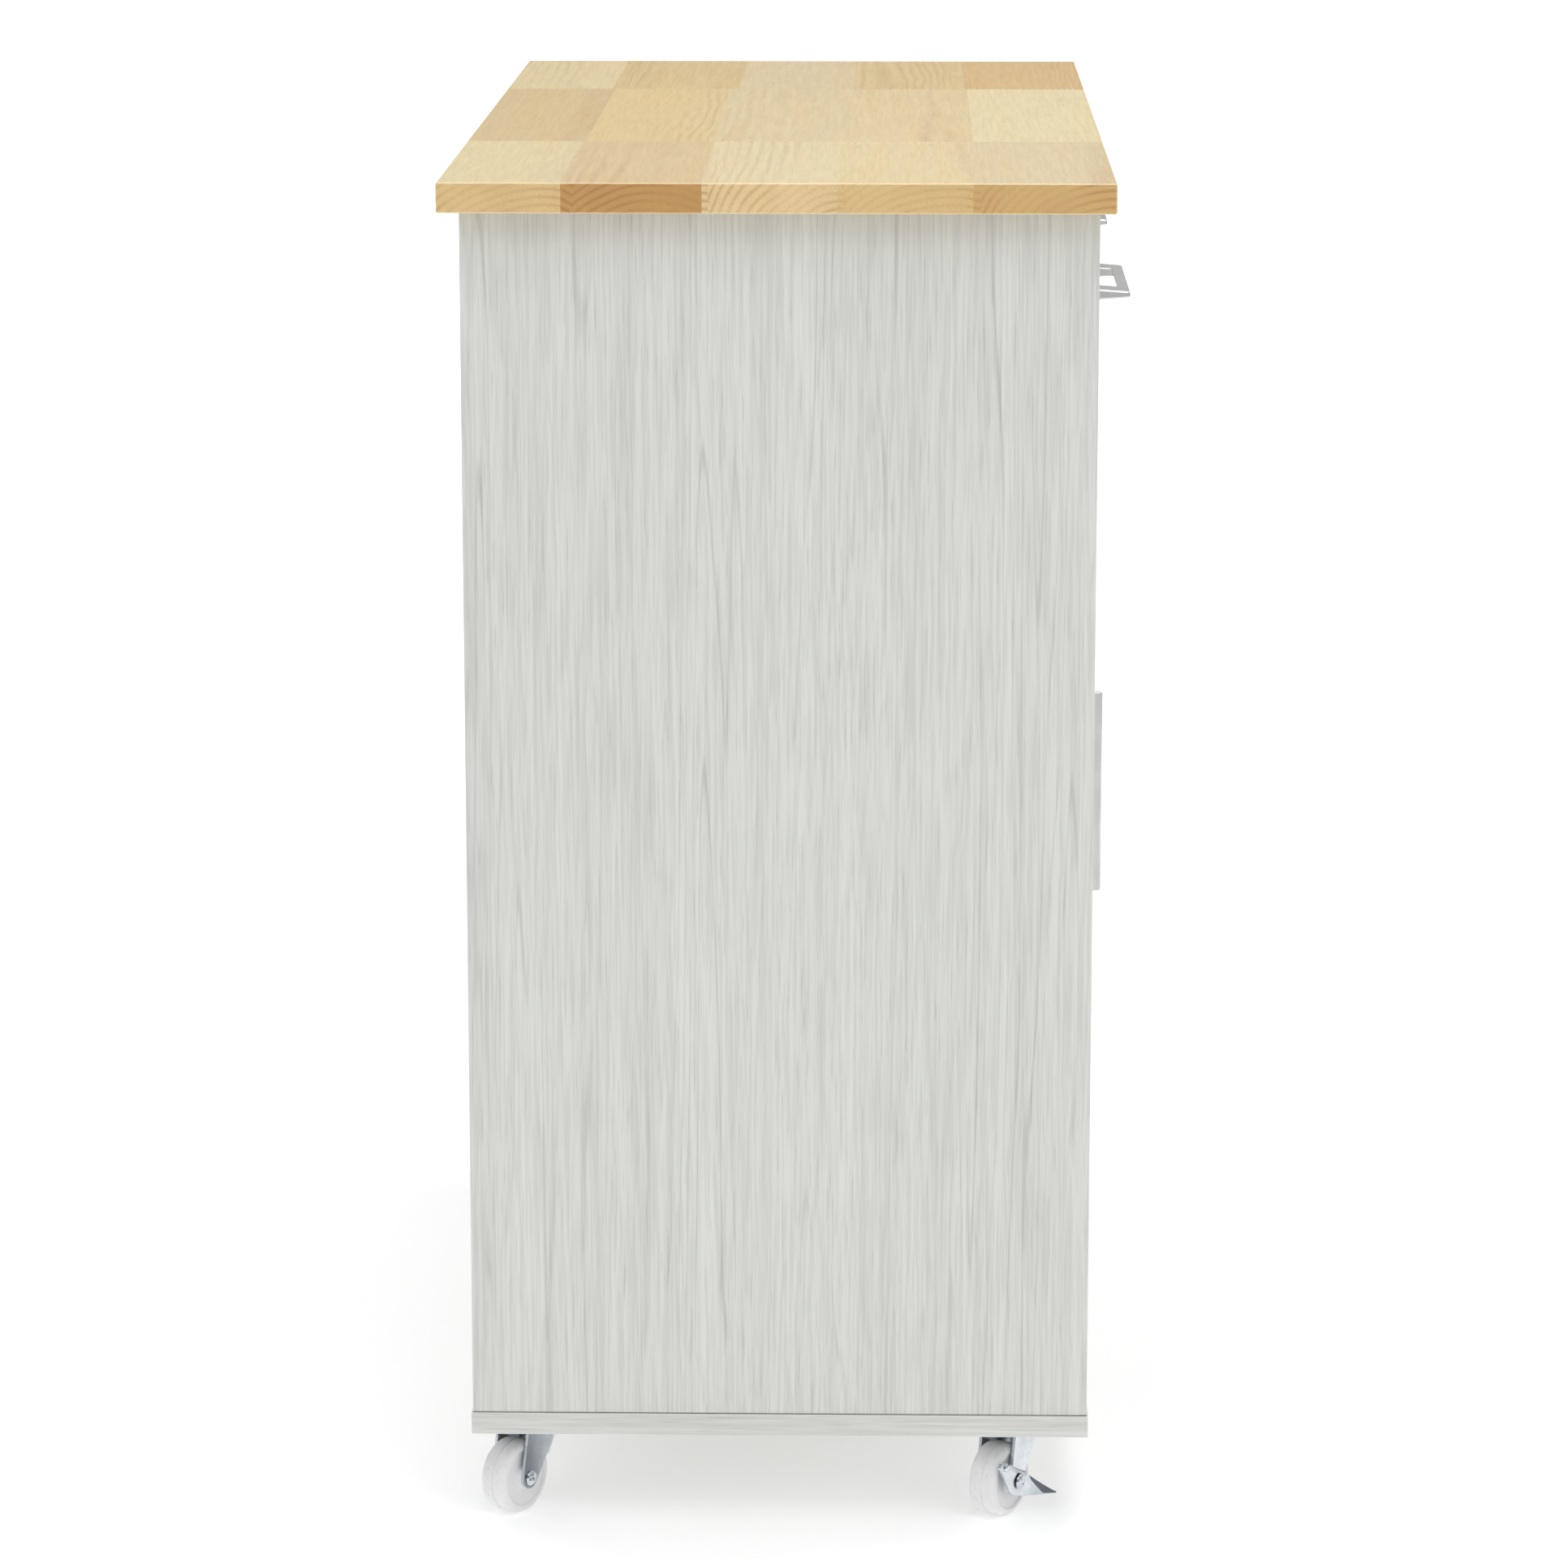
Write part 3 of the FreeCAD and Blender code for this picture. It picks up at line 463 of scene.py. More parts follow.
def satin_nickel(name):
    f = Finish(name)
    brushed = f.noise(f.stretched(f.place, (0.05, 1.0, 1.0)), 2600.0, detail=2.0)
    clouds = f.rise(f.noise(f.place, 40.0, detail=3.0), 0.3, 0.7)
    colour = f.blend(0.5 * clouds + 0.5 * brushed, paint(238, 238, 237), paint(218, 218, 218))
    relief = f.bump(brushed, 0.03 * mm, 0.35)
    return f.done(colour, 0.34 + 0.12 * brushed, relief, Metallic=0.9)


finishes["satin_metal"] = satin_nickel("satin_nickel")
finishes["zinc_plate"] = zinc("bright_zinc", (230, 234, 238), (200, 206, 213), 0.13)
finishes["runner_steel"] = zinc("runner_zinc", (214, 218, 222), (184, 189, 196), 0.30)
finishes["zinc_screws"] = zinc("screw_zinc", (212, 214, 216), (180, 182, 186), 0.26)
print("metals ready")

# %% [markdown]
# ## Wheel plastic
#
# The wheels are moulded in a milky grey plastic. A little subsurface scattering gives it
# depth, and its tread carries the scuffs and floor dust that every caster picks up. The
# scuffs need to know where the tread is, so the material reads each wheel's own
# coordinates, which are stored on the mesh as an attribute: radius and distance across.

# %% Wheel plastic
def wheel_plastic(name):
    f = Finish(name)
    wheel_place = f.node("ShaderNodeAttribute", {"attribute_name": "wheel_place"}, out="Vector")
    radius, turn, across = f.axes(wheel_place)
    mottle = f.noise(f.place, 120.0, detail=3.0)
    fine = f.noise(f.place, 1500.0, detail=2.0)
    on_tread = f.rise(radius, 22.5 * mm, 24.6 * mm)
    scuff_place = f.vector(60.0 * across, 0.5 * turn, 0.0)
    scuffs = on_tread * f.rise(f.noise(scuff_place, 9.0, detail=3.0), 0.52, 0.72)
    colour = f.blend(mottle, paint(247, 247, 247), paint(234, 234, 235))
    colour = f.blend(0.16 * scuffs, colour, paint(150, 148, 146))
    roughness = 0.38 + 0.12 * fine + 0.2 * scuffs
    return f.done(colour, roughness, f.bump(fine, 0.04 * mm, 0.4), Subsurface_Weight=0.12,
                  Subsurface_Scale=0.004)


finishes["wheel_plastic"] = wheel_plastic("wheel_plastic")
print("finishes:", len(finishes))

# %% [markdown]
# ## Finishing the CAD boards and hardware
#
# A CAD node whose shape is already right keeps it, and takes a finish in its material slot.
# The record says which slot each node has. The laminate is the one finish with a
# direction, so those nodes are sorted by the way their grain runs.

# %% Paint the CAD nodes
upright_boards = ("side_panel_left", "side_panel_right", "centre_divider", "back_panel",
                  "door_panel")


def finish_for(node):
    slot = slot_of_node[node]
    if slot != "pale_laminate":
        return finishes[slot]
    return finishes["laminate_upright" if node in upright_boards else "laminate_lengthwise"]


for node, cad_object in frame["nodes"].items():
    cad_object.material_slots[0].material = finish_for(node)
print("painted", len(frame["nodes"]), "CAD nodes")

# %% [markdown]
# ## Surfaces from arrays
#
# The small parts are surfaces over a grid: one direction runs along a profile, the other
# along a path or round an axis. `patch` turns a grid of points into four-sided faces, and
# `new_piece` joins patches into one mesh, closes the seams where they meet, and hangs the
# result on its CAD body. `rounded` gives an outline true arcs at its corners, which is
# what makes moulded and pressed parts catch the light along their edges.

# %% Shape kit
def patch(points, around=False, along=False):
    """Faces over a grid of points (rows, columns, 3). around closes every row on itself,
    along joins the last row to the first."""
    rows, columns = points.shape[:2]
    index = np.arange(rows * columns).reshape(rows, columns)
    if around:
        index = np.concatenate([index, index[:, :1]], axis=1)
    if along:
        index = np.concatenate([index, index[:1]], axis=0)
    corners = (index[:-1, :-1], index[:-1, 1:], index[1:, 1:], index[1:, :-1])
    return points.reshape(-1, 3), np.stack(corners, axis=-1).reshape(-1, 4).tolist()


def lid(points):
    """One flat face over a closed outline of points (n, 3)."""
    return points, [list(range(len(points)))]


def rounded(corners, radii, steps=6):
    """A closed outline with an arc at every corner. Each arc is a rational quadratic curve
    from one tangent point to the other, weighted by the sine of half the corner's angle,
    which makes it an exact part of a circle."""
    at = np.asarray(corners, float)
    before, after = np.roll(at, 1, axis=0) - at, np.roll(at, -1, axis=0) - at
    before /= np.linalg.norm(before, axis=1, keepdims=True)
    after /= np.linalg.norm(after, axis=1, keepdims=True)
    half = np.arccos(np.clip((before * after).sum(axis=1), -1, 1)) / 2
    reach = (np.broadcast_to(radii, len(at)) / np.tan(half))[:, None, None]
    t = np.linspace(0, 1, steps)[None, :, None]
    weight = np.sin(half)[:, None, None]
    corner = at[:, None, :]
    start, end = corner + before[:, None, :] * reach, corner + after[:, None, :] * reach
    top = (1 - t) ** 2 * start + 2 * weight * t * (1 - t) * corner + t ** 2 * end
    return (top / ((1 - t) ** 2 + 2 * weight * t * (1 - t) + t ** 2)).reshape(-1, at.shape[1])


def turned(outline, steps):
    """An outline of (radius, along) points carried round an axis. Gives (across, along, up):
    across = radius times cosine, up = radius times sine."""
    turn = np.linspace(0, 2 * math.pi, steps, endpoint=False)[:, None]
    radius, along = outline[None, :, 0], outline[None, :, 1]
    return np.stack([radius * np.cos(turn), along + 0 * turn, radius * np.sin(turn)], axis=-1)


def points_of(mesh):
    """Every point of a mesh, as an array (n, 3)."""
    points = np.empty(len(mesh.vertices) * 3)
    mesh.vertices.foreach_get("co", points)
    return points.reshape(-1, 3)


def new_piece(name, patches, finish, stands_for, closed=True, thickness=None, bevel=None):
    """Joins patches into one piece that replaces the CAD node stands_for and rides its body."""
    points, faces, count = [], [], 0
    for patch_points, patch_faces in patches:
        points.append(patch_points)
        faces += [[corner + count for corner in face] for face in patch_faces]
        count += len(patch_points)
    mesh = bpy.data.meshes.new(name)
    mesh.from_pydata(np.concatenate(points).tolist(), [], faces)
    work = bmesh.new()
    work.from_mesh(mesh)
    bmesh.ops.remove_doubles(work, verts=work.verts, dist=0.002 * mm)
    bmesh.ops.dissolve_degenerate(work, edges=work.edges, dist=0.002 * mm)
    if closed:
        bmesh.ops.recalc_face_normals(work, faces=work.faces)
    work.to_mesh(mesh)
    work.free()
    mesh.shade_smooth()
    mesh.set_sharp_from_angle(angle=math.radians(38))
    mesh.materials.append(finish)
    made = bpy.data.objects.new(name, mesh)
    scene.collection.objects.link(made)
    if thickness is not None:
        sheet = made.modifiers.new("sheet", "SOLIDIFY")
        sheet.thickness, sheet.offset, sheet.use_even_offset = thickness, -1.0, False
    if bevel is not None:
        edge = made.modifiers.new("edge", "BEVEL")
        edge.width, edge.segments, edge.angle_limit = bevel, 2, math.radians(40)
    made.modifiers.new("flat_faces", "WEIGHTED_NORMAL").keep_sharp = True
    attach(made, body_of_node[stands_for])
    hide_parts(stands_for)
    return made


print("shape kit ready")

# %% [markdown]
# ## Where each caster stands
#
# A caster is drawn once about its own swivel axis: U is the way the wheel trails, V runs
# along the axle and Z is up. The joints in the record say where each swivel axis and axle
# is, so the same shapes land under all four corners, each at its own angle.

# %% Caster places
class Caster:
    """One corner's swivel axis and axle, read from its joints."""

    def __init__(self, corner):
        self.corner = corner
        pivot = np.array(joints["swivel_turn_" + corner]["pos_m"], float)
        axle = np.array(joints["wheel_spin_" + corner]["pos_m"], float)
        self.crown = pivot[2]
        self.trail = float(np.hypot(*(axle - pivot)[:2]))
        self.axle_height = axle[2]
        self.origin = np.array([pivot[0], pivot[1], 0.0])
        self.u = np.array([*(axle - pivot)[:2], 0.0]) / self.trail
        self.v = np.array([-self.u[1], self.u[0], 0.0])

    def place(self, local):
        """Points given as (u, v, z) in the frame's own axes."""
        return (self.origin + local[..., :1] * self.u + local[..., 1:2] * self.v
                + local[..., 2:3] * np.array([0.0, 0.0, 1.0]))

    def across(self, node):
        """Where each point of a CAD node lies along V."""
        return (points_of(frame["nodes"][node].data) - self.origin) @ self.v

    def half_width(self, node):
        """How far a CAD node reaches along V, from the swivel axis."""
        return float(self.across(node).max())


casters = [Caster(name[len("swivel_turn_"):]) for name in joints if name.startswith("swivel_turn_")]
print("casters:", [caster.corner for caster in casters])

# %% [markdown]
# ## Wheels
#
# The real wheel is one moulding, so it is one closed profile turned about the axle: a flat
# tread with the mould's parting groove in its middle, round shoulders, a narrow rim, a
# dished side and a hub. Turning a profile leaves no poles, because the bore goes right
# through.

# %% Wheels
wheel_radius, wheel_half = 25.0 * mm, 10.5 * mm
bore_radius, hub_radius, rim_inside = 3.06 * mm, 7.6 * mm, 20.2 * mm
groove_half, groove_depth, groove_floor_half = 0.9 * mm, 0.9 * mm, 0.25 * mm


def wheel_profile(hub_half):
    """(radius, along) round one closed outline, from the bore out and back."""
    side = np.array([
        (bore_radius, hub_half), (hub_radius, hub_half), (8.6 * mm, 8.6 * mm),
        (16.5 * mm, 8.9 * mm), (19.0 * mm, 9.2 * mm), (rim_inside, wheel_half),
        (wheel_radius, wheel_half), (wheel_radius, groove_half),
        (wheel_radius - groove_depth, groove_floor_half)])
    radii = np.array([0.3, 0.7, 0.9, 6.0, 0.8, 0.5, 3.9, 0.35, 0.1]) * mm
    other = side[::-1] * (1, -1)
    return rounded(np.concatenate([side, other]), np.concatenate([radii, radii[::-1]]), steps=7)


def make_wheel(caster):
    name = "caster_wheel_" + caster.corner
    outline = wheel_profile(caster.half_width(name))
    points = turned(outline, 96)
    local = points + (caster.trail, 0.0, caster.axle_height)
    wheel = new_piece("wheel_" + caster.corner, [patch(caster.place(local), True, True)],
                      finishes["wheel_plastic"], name)
    store_wheel_place(wheel, caster)
    return wheel


def store_wheel_place(wheel, caster):
    """Writes (radius, turn, across) of every point to the wheel_place attribute."""
    out = points_of(wheel.data) - caster.place(np.array([caster.trail, 0.0, caster.axle_height]))
    u, v, z = out @ caster.u, out @ caster.v, out[:, 2]
    place = np.stack([np.hypot(u, z), np.abs(np.arctan2(z, u)), v], axis=-1)
    attribute = wheel.data.attributes.new("wheel_place", "FLOAT_VECTOR", "POINT")
    attribute.data.foreach_set("vector", place.astype(np.float32).ravel())


for caster in casters:
    wheel = make_wheel(caster)
    print(wheel.name, len(wheel.data.polygons), "faces")

# %% [markdown]
# ## Forks
#
# A caster fork is pressed from one sheet: a flat crown under the mounting plate, a front
# wall that slopes back under it, and two legs that end in rounds at the axle. As a surface
# it is ruled. The upper outline is a U in plan with bent corners; the lower outline follows
# the leg round the axle and crosses the front at the elbow; straight lines join the two.
# The crown continues the same columns inward to the king pin. Solidify then gives the
# sheet its thickness and a small bevel rounds the sheared edges.

# %% Forks
sheet = 2.0 * mm
fork_bend, fork_fold = 8.0 * mm, 2.2 * mm
crown_front, crown_rear = 20.5 * mm, 19.0 * mm
elbow_u, elbow_rise = -8.2 * mm, 12.5 * mm
leg_end_radius = 7.5 * mm
king_pin_hole = 4.06 * mm


def tangent_turn(outside, radius, side):
    """The angle, seen from a circle's centre, at which a line from outside touches it."""
    return math.atan2(outside[1], outside[0]) + side * math.acos(radius / math.hypot(*outside))


def leg_lower_outline(caster, count):
    """(u, z) from the leg's rear edge round the axle and up to the elbow's bend."""
    rise = caster.crown - caster.axle_height
    rear = tangent_turn((crown_rear - caster.trail, rise), leg_end_radius, -1)
    front = tangent_turn((elbow_u + fork_bend - caster.trail, elbow_rise), leg_end_radius, 1)
    turn = np.linspace(rear, front - 2 * math.pi, count - count // 3)[:, None]
    axle = np.array([caster.trail, caster.axle_height])
    arc = axle + leg_end_radius * np.concatenate([np.cos(turn), np.sin(turn)], axis=1)
    elbow = np.array([elbow_u + fork_bend, caster.axle_height + elbow_rise])
    share = np.linspace(0, 1, count // 3 + 1)[1:, None]
    return np.concatenate([arc, arc[-1] + share * (elbow - arc[-1])])


def u_outline(front_u, half_width, z, leg):
    """Half of the U from its leg to the middle of the front: leg points, bend, front wall.
    leg is (u, z) along the leg. Gives (u, v, z), on the -V side."""
    turn = np.linspace(0, math.pi / 2, 15)[1:, None]
    bend = np.concatenate([front_u + fork_bend * (1 - np.sin(turn)),
                           -half_width + fork_bend * (1 - np.cos(turn)), z + 0 * turn], axis=1)
    wall_v = np.linspace(fork_bend - half_width, 0, 4)[1:, None]
    wall = np.concatenate([front_u + 0 * wall_v, wall_v, z + 0 * wall_v], axis=1)
    legs = np.stack([leg[:, 0], -half_width + 0 * leg[:, 0], leg[:, 1]], axis=-1)
    return np.concatenate([legs, bend, wall])


def whole_u(half):
    """A half outline and its mirror image on the +V side."""
    return np.concatenate([half, half[-2::-1] * (1, -1, 1)])


def fork_walls(caster, half_width, count=30):
    """The U-shaped walls, from the fold at the crown down to the lower edge."""
    top_leg = np.stack([np.linspace(crown_rear, fork_bend - crown_front, count),
                        np.full(count, caster.crown)], axis=-1)
    top = whole_u(u_outline(-crown_front, half_width, caster.crown, top_leg))
    low_leg = leg_lower_outline(caster, count)
    low = whole_u(u_outline(elbow_u, half_width, caster.axle_height + elbow_rise, low_leg))
    share = np.linspace(0, 1, 14)[:, None, None]
    return top, top + share * (low - top)


def make_fork(caster):
    name = "caster_fork_" + caster.corner
    half_width = caster.half_width(name)
    top, walls = fork_walls(caster, half_width)
    down = walls[1] - walls[0]
    down = down / np.linalg.norm(down, axis=1, keepdims=True)
    centre = np.array([0.0, 0.0, caster.crown])
    inward = centre - top
    inward[:, 0] = np.where(np.abs(np.abs(top[:, 1]) - half_width) < 1e-6, 0.0, inward[:, 0])
    inward = inward / np.linalg.norm(inward, axis=1, keepdims=True)
    turn = np.linspace(0, math.pi / 2, 6)[:, None, None]
    fold = top + fork_fold * (inward * (1 - np.sin(turn)) + down * (1 - np.cos(turn)))
    inner = fold[0]
    rear = inner[-1] + np.linspace(0, 1, 10)[1:-1, None] * (inner[0] - inner[-1])
    ring = np.concatenate([inner, rear])
    angle = np.arctan2(ring[:, 1], ring[:, 0])
    hole = np.stack([king_pin_hole * np.cos(angle), king_pin_hole * np.sin(angle),
                     np.full(len(angle), caster.crown)], axis=-1)
    share = np.linspace(0, 1, 5)[:, None, None]
    crown = hole + share * (ring - hole)
    below = walls.copy()
    below[0] = fold[-1]
    patches = [patch(caster.place(crown), around=True), patch(caster.place(fold)),
               patch(caster.place(below))]
    return new_piece("fork_" + caster.corner, patches, finishes["zinc_plate"], name,
                     closed=False, thickness=sheet, bevel=0.35 * mm)


for caster in casters:
    fork = make_fork(caster)
    print(fork.name, len(fork.data.polygons), "faces before its thickness")

# %% [markdown]
# ## Axle rivets
#
# The axle is a rivet: a plain pin with a domed head on one side and the same dome formed
# over on the other. The dome is a turned profile. A small undercut behind each head leaves
# the dark ring that a real rivet has where it meets the pressed sheet, and a dimple in the
# crown of the dome is the mark of the riveting tool.

# %% Axles
pin_radius, head_radius, head_height = 3.0 * mm, 5.2 * mm, 2.6 * mm


def axle_profile(low, high):
    """(radius, along) from the middle of one head to the middle of the other."""
    undercut, dimple = 0.35 * mm, 0.35 * mm
    head = np.array([
        (0.0, head_height - dimple), (1.1 * mm, head_height - 0.9 * dimple),
        (1.9 * mm, head_height), (head_radius - 0.9 * mm, head_height * 0.72),
        (head_radius, head_height * 0.36), (head_radius, undercut + 0.15 * mm),
        (head_radius - 0.8 * mm, undercut), (pin_radius + 0.7 * mm, 0.0), (pin_radius, 0.0)])
    t = np.linspace(0, 1, 5)[:-1, None]
    fine = np.concatenate([head[i] + t * (head[i + 1] - head[i]) for i in range(len(head) - 1)]
                          + [head[-1:]])
    lower = fine * (1, -1) + (0, low)
    upper = fine[::-1] + (0, high)
    return np.concatenate([lower, upper])


def make_axle(caster):
    name = "caster_axle_" + caster.corner
    reach = caster.across(name)
    outline = axle_profile(reach.min() + head_height, reach.max() - head_height)
    local = turned(outline, 48) + (caster.trail, 0.0, caster.axle_height)
    return new_piece("axle_" + caster.corner, [patch(caster.place(local), along=True)],
                     finishes["zinc_plate"], name)


for caster in casters:
    axle = make_axle(caster)
    print(axle.name, len(axle.data.polygons), "faces")

# %% [markdown]
# ## Brake levers
#
# The two front casters have a foot brake: a kite-shaped plate that rocks on the axle, with
# a stud at its rear corner and a pedal that twists outward and ends in a point. Plate and
# pedal are one pressed sheet, so they are one ruled surface between an upper and a lower
# edge. Both edges are smooth curves through a few points. Two displacements along the axle
# do the rest: a lip folded out along the plate's upper edge, and a ridge that crosses the
# pedal from its upper root to its lower tip, so that its tread faces up to the shoe.

# %% Brake levers
# edge points: along the lever from the axle, up, and out along the axle
lever_sheet, lever_clearance = 1.5 * mm, 0.3 * mm
upper_edge = np.array([
    (25.0, 16.5, 0.0), (20.0, 17.6, 0.0), (8.0, 11.6, 0.0), (-4.0, 5.6, 0.0),
    (-11.0, 2.2, 0.5), (-18.0, -3.5, 3.2), (-24.5, -9.0, 7.2), (-30.0, -13.6, 11.6)]) * mm
lower_edge = np.array([
    (24.6, 15.2, 0.0), (20.0, 8.0, 0.0), (11.0, -5.2, 0.0), (-2.0, -10.8, 0.0),
    (-12.0, -13.6, 0.5), (-19.0, -14.6, 3.4), (-25.0, -14.9, 7.4), (-30.3, -14.9, 11.6)]) * mm
lever_stations, lever_rows = 64, 18
pedal_starts = 0.54  # as a share of the lever's length
lip_height, ridge_height = 2.0 * mm, 3.4 * mm
stud_along, stud_up, stud_radius = 18.0 * mm, 14.4 * mm, 2.5 * mm


def smooth_line(points, count):
    """A Catmull-Rom curve through the points, sampled evenly in its parameter."""
    ends = np.concatenate([2 * points[:1] - points[1:2], points, 2 * points[-1:] - points[-2:-1]])
    s = np.linspace(0, len(points) - 1, count)
    i = np.minimum(s.astype(int), len(points) - 2)
    t = (s - i)[:, None]
    a, b, c, d = ends[i], ends[i + 1], ends[i + 2], ends[i + 3]
    return 0.5 * (2 * b + (c - a) * t + (2 * a - 5 * b + 4 * c - d) * t ** 2
                  + (3 * b - a - 3 * c + d) * t ** 3)


def lever_sheet_surface(caster, base_v):
    """The plate and its pedal as a grid, in (u, v, z)."""
    upper, lower = [smooth_line(edge, lever_stations) for edge in (upper_edge, lower_edge)]
    station = np.linspace(0, 1, lever_stations)[:, None]
    across = np.linspace(0, 1, lever_rows)[None, :]
    grid = lower[:, None, :] + across[..., None] * (upper - lower)[:, None, :]
    lip_window = np.clip((station - 0.08) / 0.1, 0, 1) * np.clip((0.60 - station) / 0.12, 0, 1)
    lip = lip_height * lip_window * np.clip((across - 0.84) / 0.16, 0, 1) ** 1.4
    on_pedal = station - pedal_starts
    fold = np.clip(1.0 - on_pedal / 0.24, 0.14, 0.92)
    swell = np.clip(on_pedal / 0.14, 0, 1) * np.clip((1.04 - station) / 0.3, 0.25, 1)
    ridge = ridge_height * swell * np.minimum(across / fold, (1 - across) / (1 - fold))
    u = caster.trail + grid[..., 0]
    v = base_v + lever_sheet + grid[..., 2] + lip + ridge
    z = caster.axle_height + grid[..., 1]
    return np.stack([u, v, z], axis=-1)


def lever_stud(caster, base_v, inner_v):
    """The stud: a short turned pin with a rounded outer end, in (u, v, z)."""
    tall = base_v + lever_sheet + 1.6 * mm
    outline = np.array([
        (0.0, inner_v), (stud_radius - 0.3 * mm, inner_v), (stud_radius, inner_v + 0.3 * mm),
        (stud_radius, tall - 0.9 * mm), (stud_radius - 0.4 * mm, tall - 0.3 * mm),
        (1.3 * mm, tall), (0.0, tall)])
    return turned(outline, 28) + (caster.trail + stud_along, 0.0, caster.axle_height + stud_up)


def make_lever(caster):
    name = "brake_lever_" + caster.corner
    base_v = caster.half_width("caster_fork_" + caster.corner) + lever_clearance
    surface = lever_sheet_surface(caster, base_v)[:, ::-1]
    lever = new_piece("brake_lever_pressed_" + caster.corner, [patch(caster.place(surface))],
                      finishes["zinc_plate"], name, closed=False, thickness=lever_sheet,
                      bevel=0.3 * mm)
    stud = lever_stud(caster, base_v, wheel_half + lever_clearance)
    new_piece("brake_stud_" + caster.corner, [patch(caster.place(stud), along=True)],
              finishes["zinc_plate"], name)
    return lever


for caster in casters:
    if "brake_lever_" + caster.corner in frame["nodes"]:
        lever = make_lever(caster)
        print(lever.name, len(lever.data.polygons), "faces before its thickness")

# %% [markdown]
# ## Pulls
#
# The pulls are cast bars: two broad feet joined by a thinner bar, all in one slab that
# tapers from the board to the fingertips, with a bevel along every outer edge. A bevelled
# section is carried along the U-shaped path. Its outer end follows the slab's outline, its
# inner end follows the finger gap, and its height at every point is the taper's.

# %% Pulls
pull_half, pull_reach = 76.0 * mm, 27.0 * mm
foot_half, tip_half = 4.0 * mm, 2.0 * mm
leg_length, bar_depth, gap_radius = 26.0 * mm, 7.0 * mm, 3.0 * mm
pull_bevel, inner_bevel, corner_radius, corner_steps = 0.9 * mm, 0.5 * mm, 2.0 * mm, 11


def pull_paths():
    """Outer and inner outline of the slab, paired point by point, as (x, out) from the left
    foot to the right one."""
    gap_x, gap_out = pull_half - leg_length, pull_reach - bar_depth
    leg = np.linspace(0, 1, 9)[:-1, None]
    start_out, start_in = np.array([-pull_half, 0.0]), np.array([-gap_x, 0.0])
    bend_out = np.array([-pull_half, gap_out - gap_radius])
    bend_in = np.array([-gap_x, gap_out - gap_radius])
    turn = np.linspace(0, math.pi / 2, 13)[:, None]
    arc = np.concatenate([-gap_x + gap_radius * (1 - np.cos(turn)),
                          gap_out - gap_radius * (1 - np.sin(turn))], axis=1)
    corner = rounded([(-pull_half, gap_out - gap_radius), (-pull_half, pull_reach),
                      (-gap_x + gap_radius, pull_reach)], (0, corner_radius, 0), corner_steps)
    corner = np.concatenate([[bend_out], corner[corner_steps:2 * corner_steps],
                             [(-gap_x + gap_radius, pull_reach)]])
    bar = np.linspace(0, 1, 12)[1:-1, None]
    outer = np.concatenate([start_out + leg * (bend_out - start_out), corner])
    inner = np.concatenate([start_in + leg * (bend_in - start_in), arc])
    outer_bar = outer[-1] + bar * (outer[-1] * (-1, 1) - outer[-1])
    inner_bar = inner[-1] + bar * (inner[-1] * (-1, 1) - inner[-1])
    return (np.concatenate([outer, outer_bar, outer[::-1] * (-1, 1)]),
            np.concatenate([inner, inner_bar, inner[::-1] * (-1, 1)]))


def pull_surface():
    """The section carried along the path, as (x, out, up)."""
    outer, inner = pull_paths()
    width = np.linalg.norm(inner - outer, axis=1)[:, None]
    inset = np.array([0.0, pull_bevel, 0.0, 0.0, 0.0, 0.0, pull_bevel, 0.0])
    from_inner = np.array([0.0, 0.0, inner_bevel, 0.0, 0.0, inner_bevel, 0.0, 0.0])
    drop = np.array([pull_bevel, 0.0, 0.0, inner_bevel, inner_bevel, 0.0, 0.0, pull_bevel])
    side = np.array([1, 1, 1, 1, -1, -1, -1, -1])
    at_inner = np.array([0, 0, 1, 1, 1, 1, 0, 0])
    distance = at_inner * (width - from_inner) + (1 - at_inner) * inset
    flat = outer[:, None, :] + (inner - outer)[:, None, :] * (distance / width)[..., None]
    taper = foot_half + (tip_half - foot_half) * flat[..., 1] / pull_reach
    up = side * (taper - drop)
    return np.concatenate([flat, up[..., None]], axis=-1)


def make_pull(node, upright):
    """A pull whose feet stand on the board behind it, lying along X or upright along Z."""
    low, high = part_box(node)
    middle = (low + high) / 2
    x, out, up = np.moveaxis(pull_surface(), -1, 0)
    y = high.y - out
    if upright:
        local = np.stack([middle.x + up, y, middle.z - x], axis=-1)
    else:
        local = np.stack([middle.x + x, y, middle.z + up], axis=-1)
    patches = [patch(local, around=True), lid(local[0]), lid(local[-1])]
    return new_piece(node.replace("_pull", "_bar_pull"), patches, finishes["satin_metal"], node,
                     bevel=0.22 * mm)


for node in ("drawer_pull_left", "drawer_pull_right", "door_pull"):
    pull = make_pull(node, upright=node == "door_pull")
    print(pull.name, len(pull.data.polygons), "faces")

# %% [markdown]
# ## Studio
#
# A catalogue picture has a white floor that runs into a white background, a broad soft
# light overhead and gentle fills from the sides. The backdrop is a large dome that only the
# camera can see: it lights nothing and casts nothing. Metal looks like metal only when it
# has something dark to mirror, so a low dark curtain stands all round. Only glossy rays can
# see it, which leaves the light on the boards alone. A small grey card on the floor, also seen
# only by glossy rays, is painted shade: it stands in for the shaded floor under the cabinet,
# so the fork legs between the two casters at the near end show a painted dark reflection.

# %% Studio finishes
floor_radius, backdrop_radius, curtain_radius = 2.6, 12.0, 3.4
glow_starts, near_glow, far_glow = 0.8, 0.28, 0.65


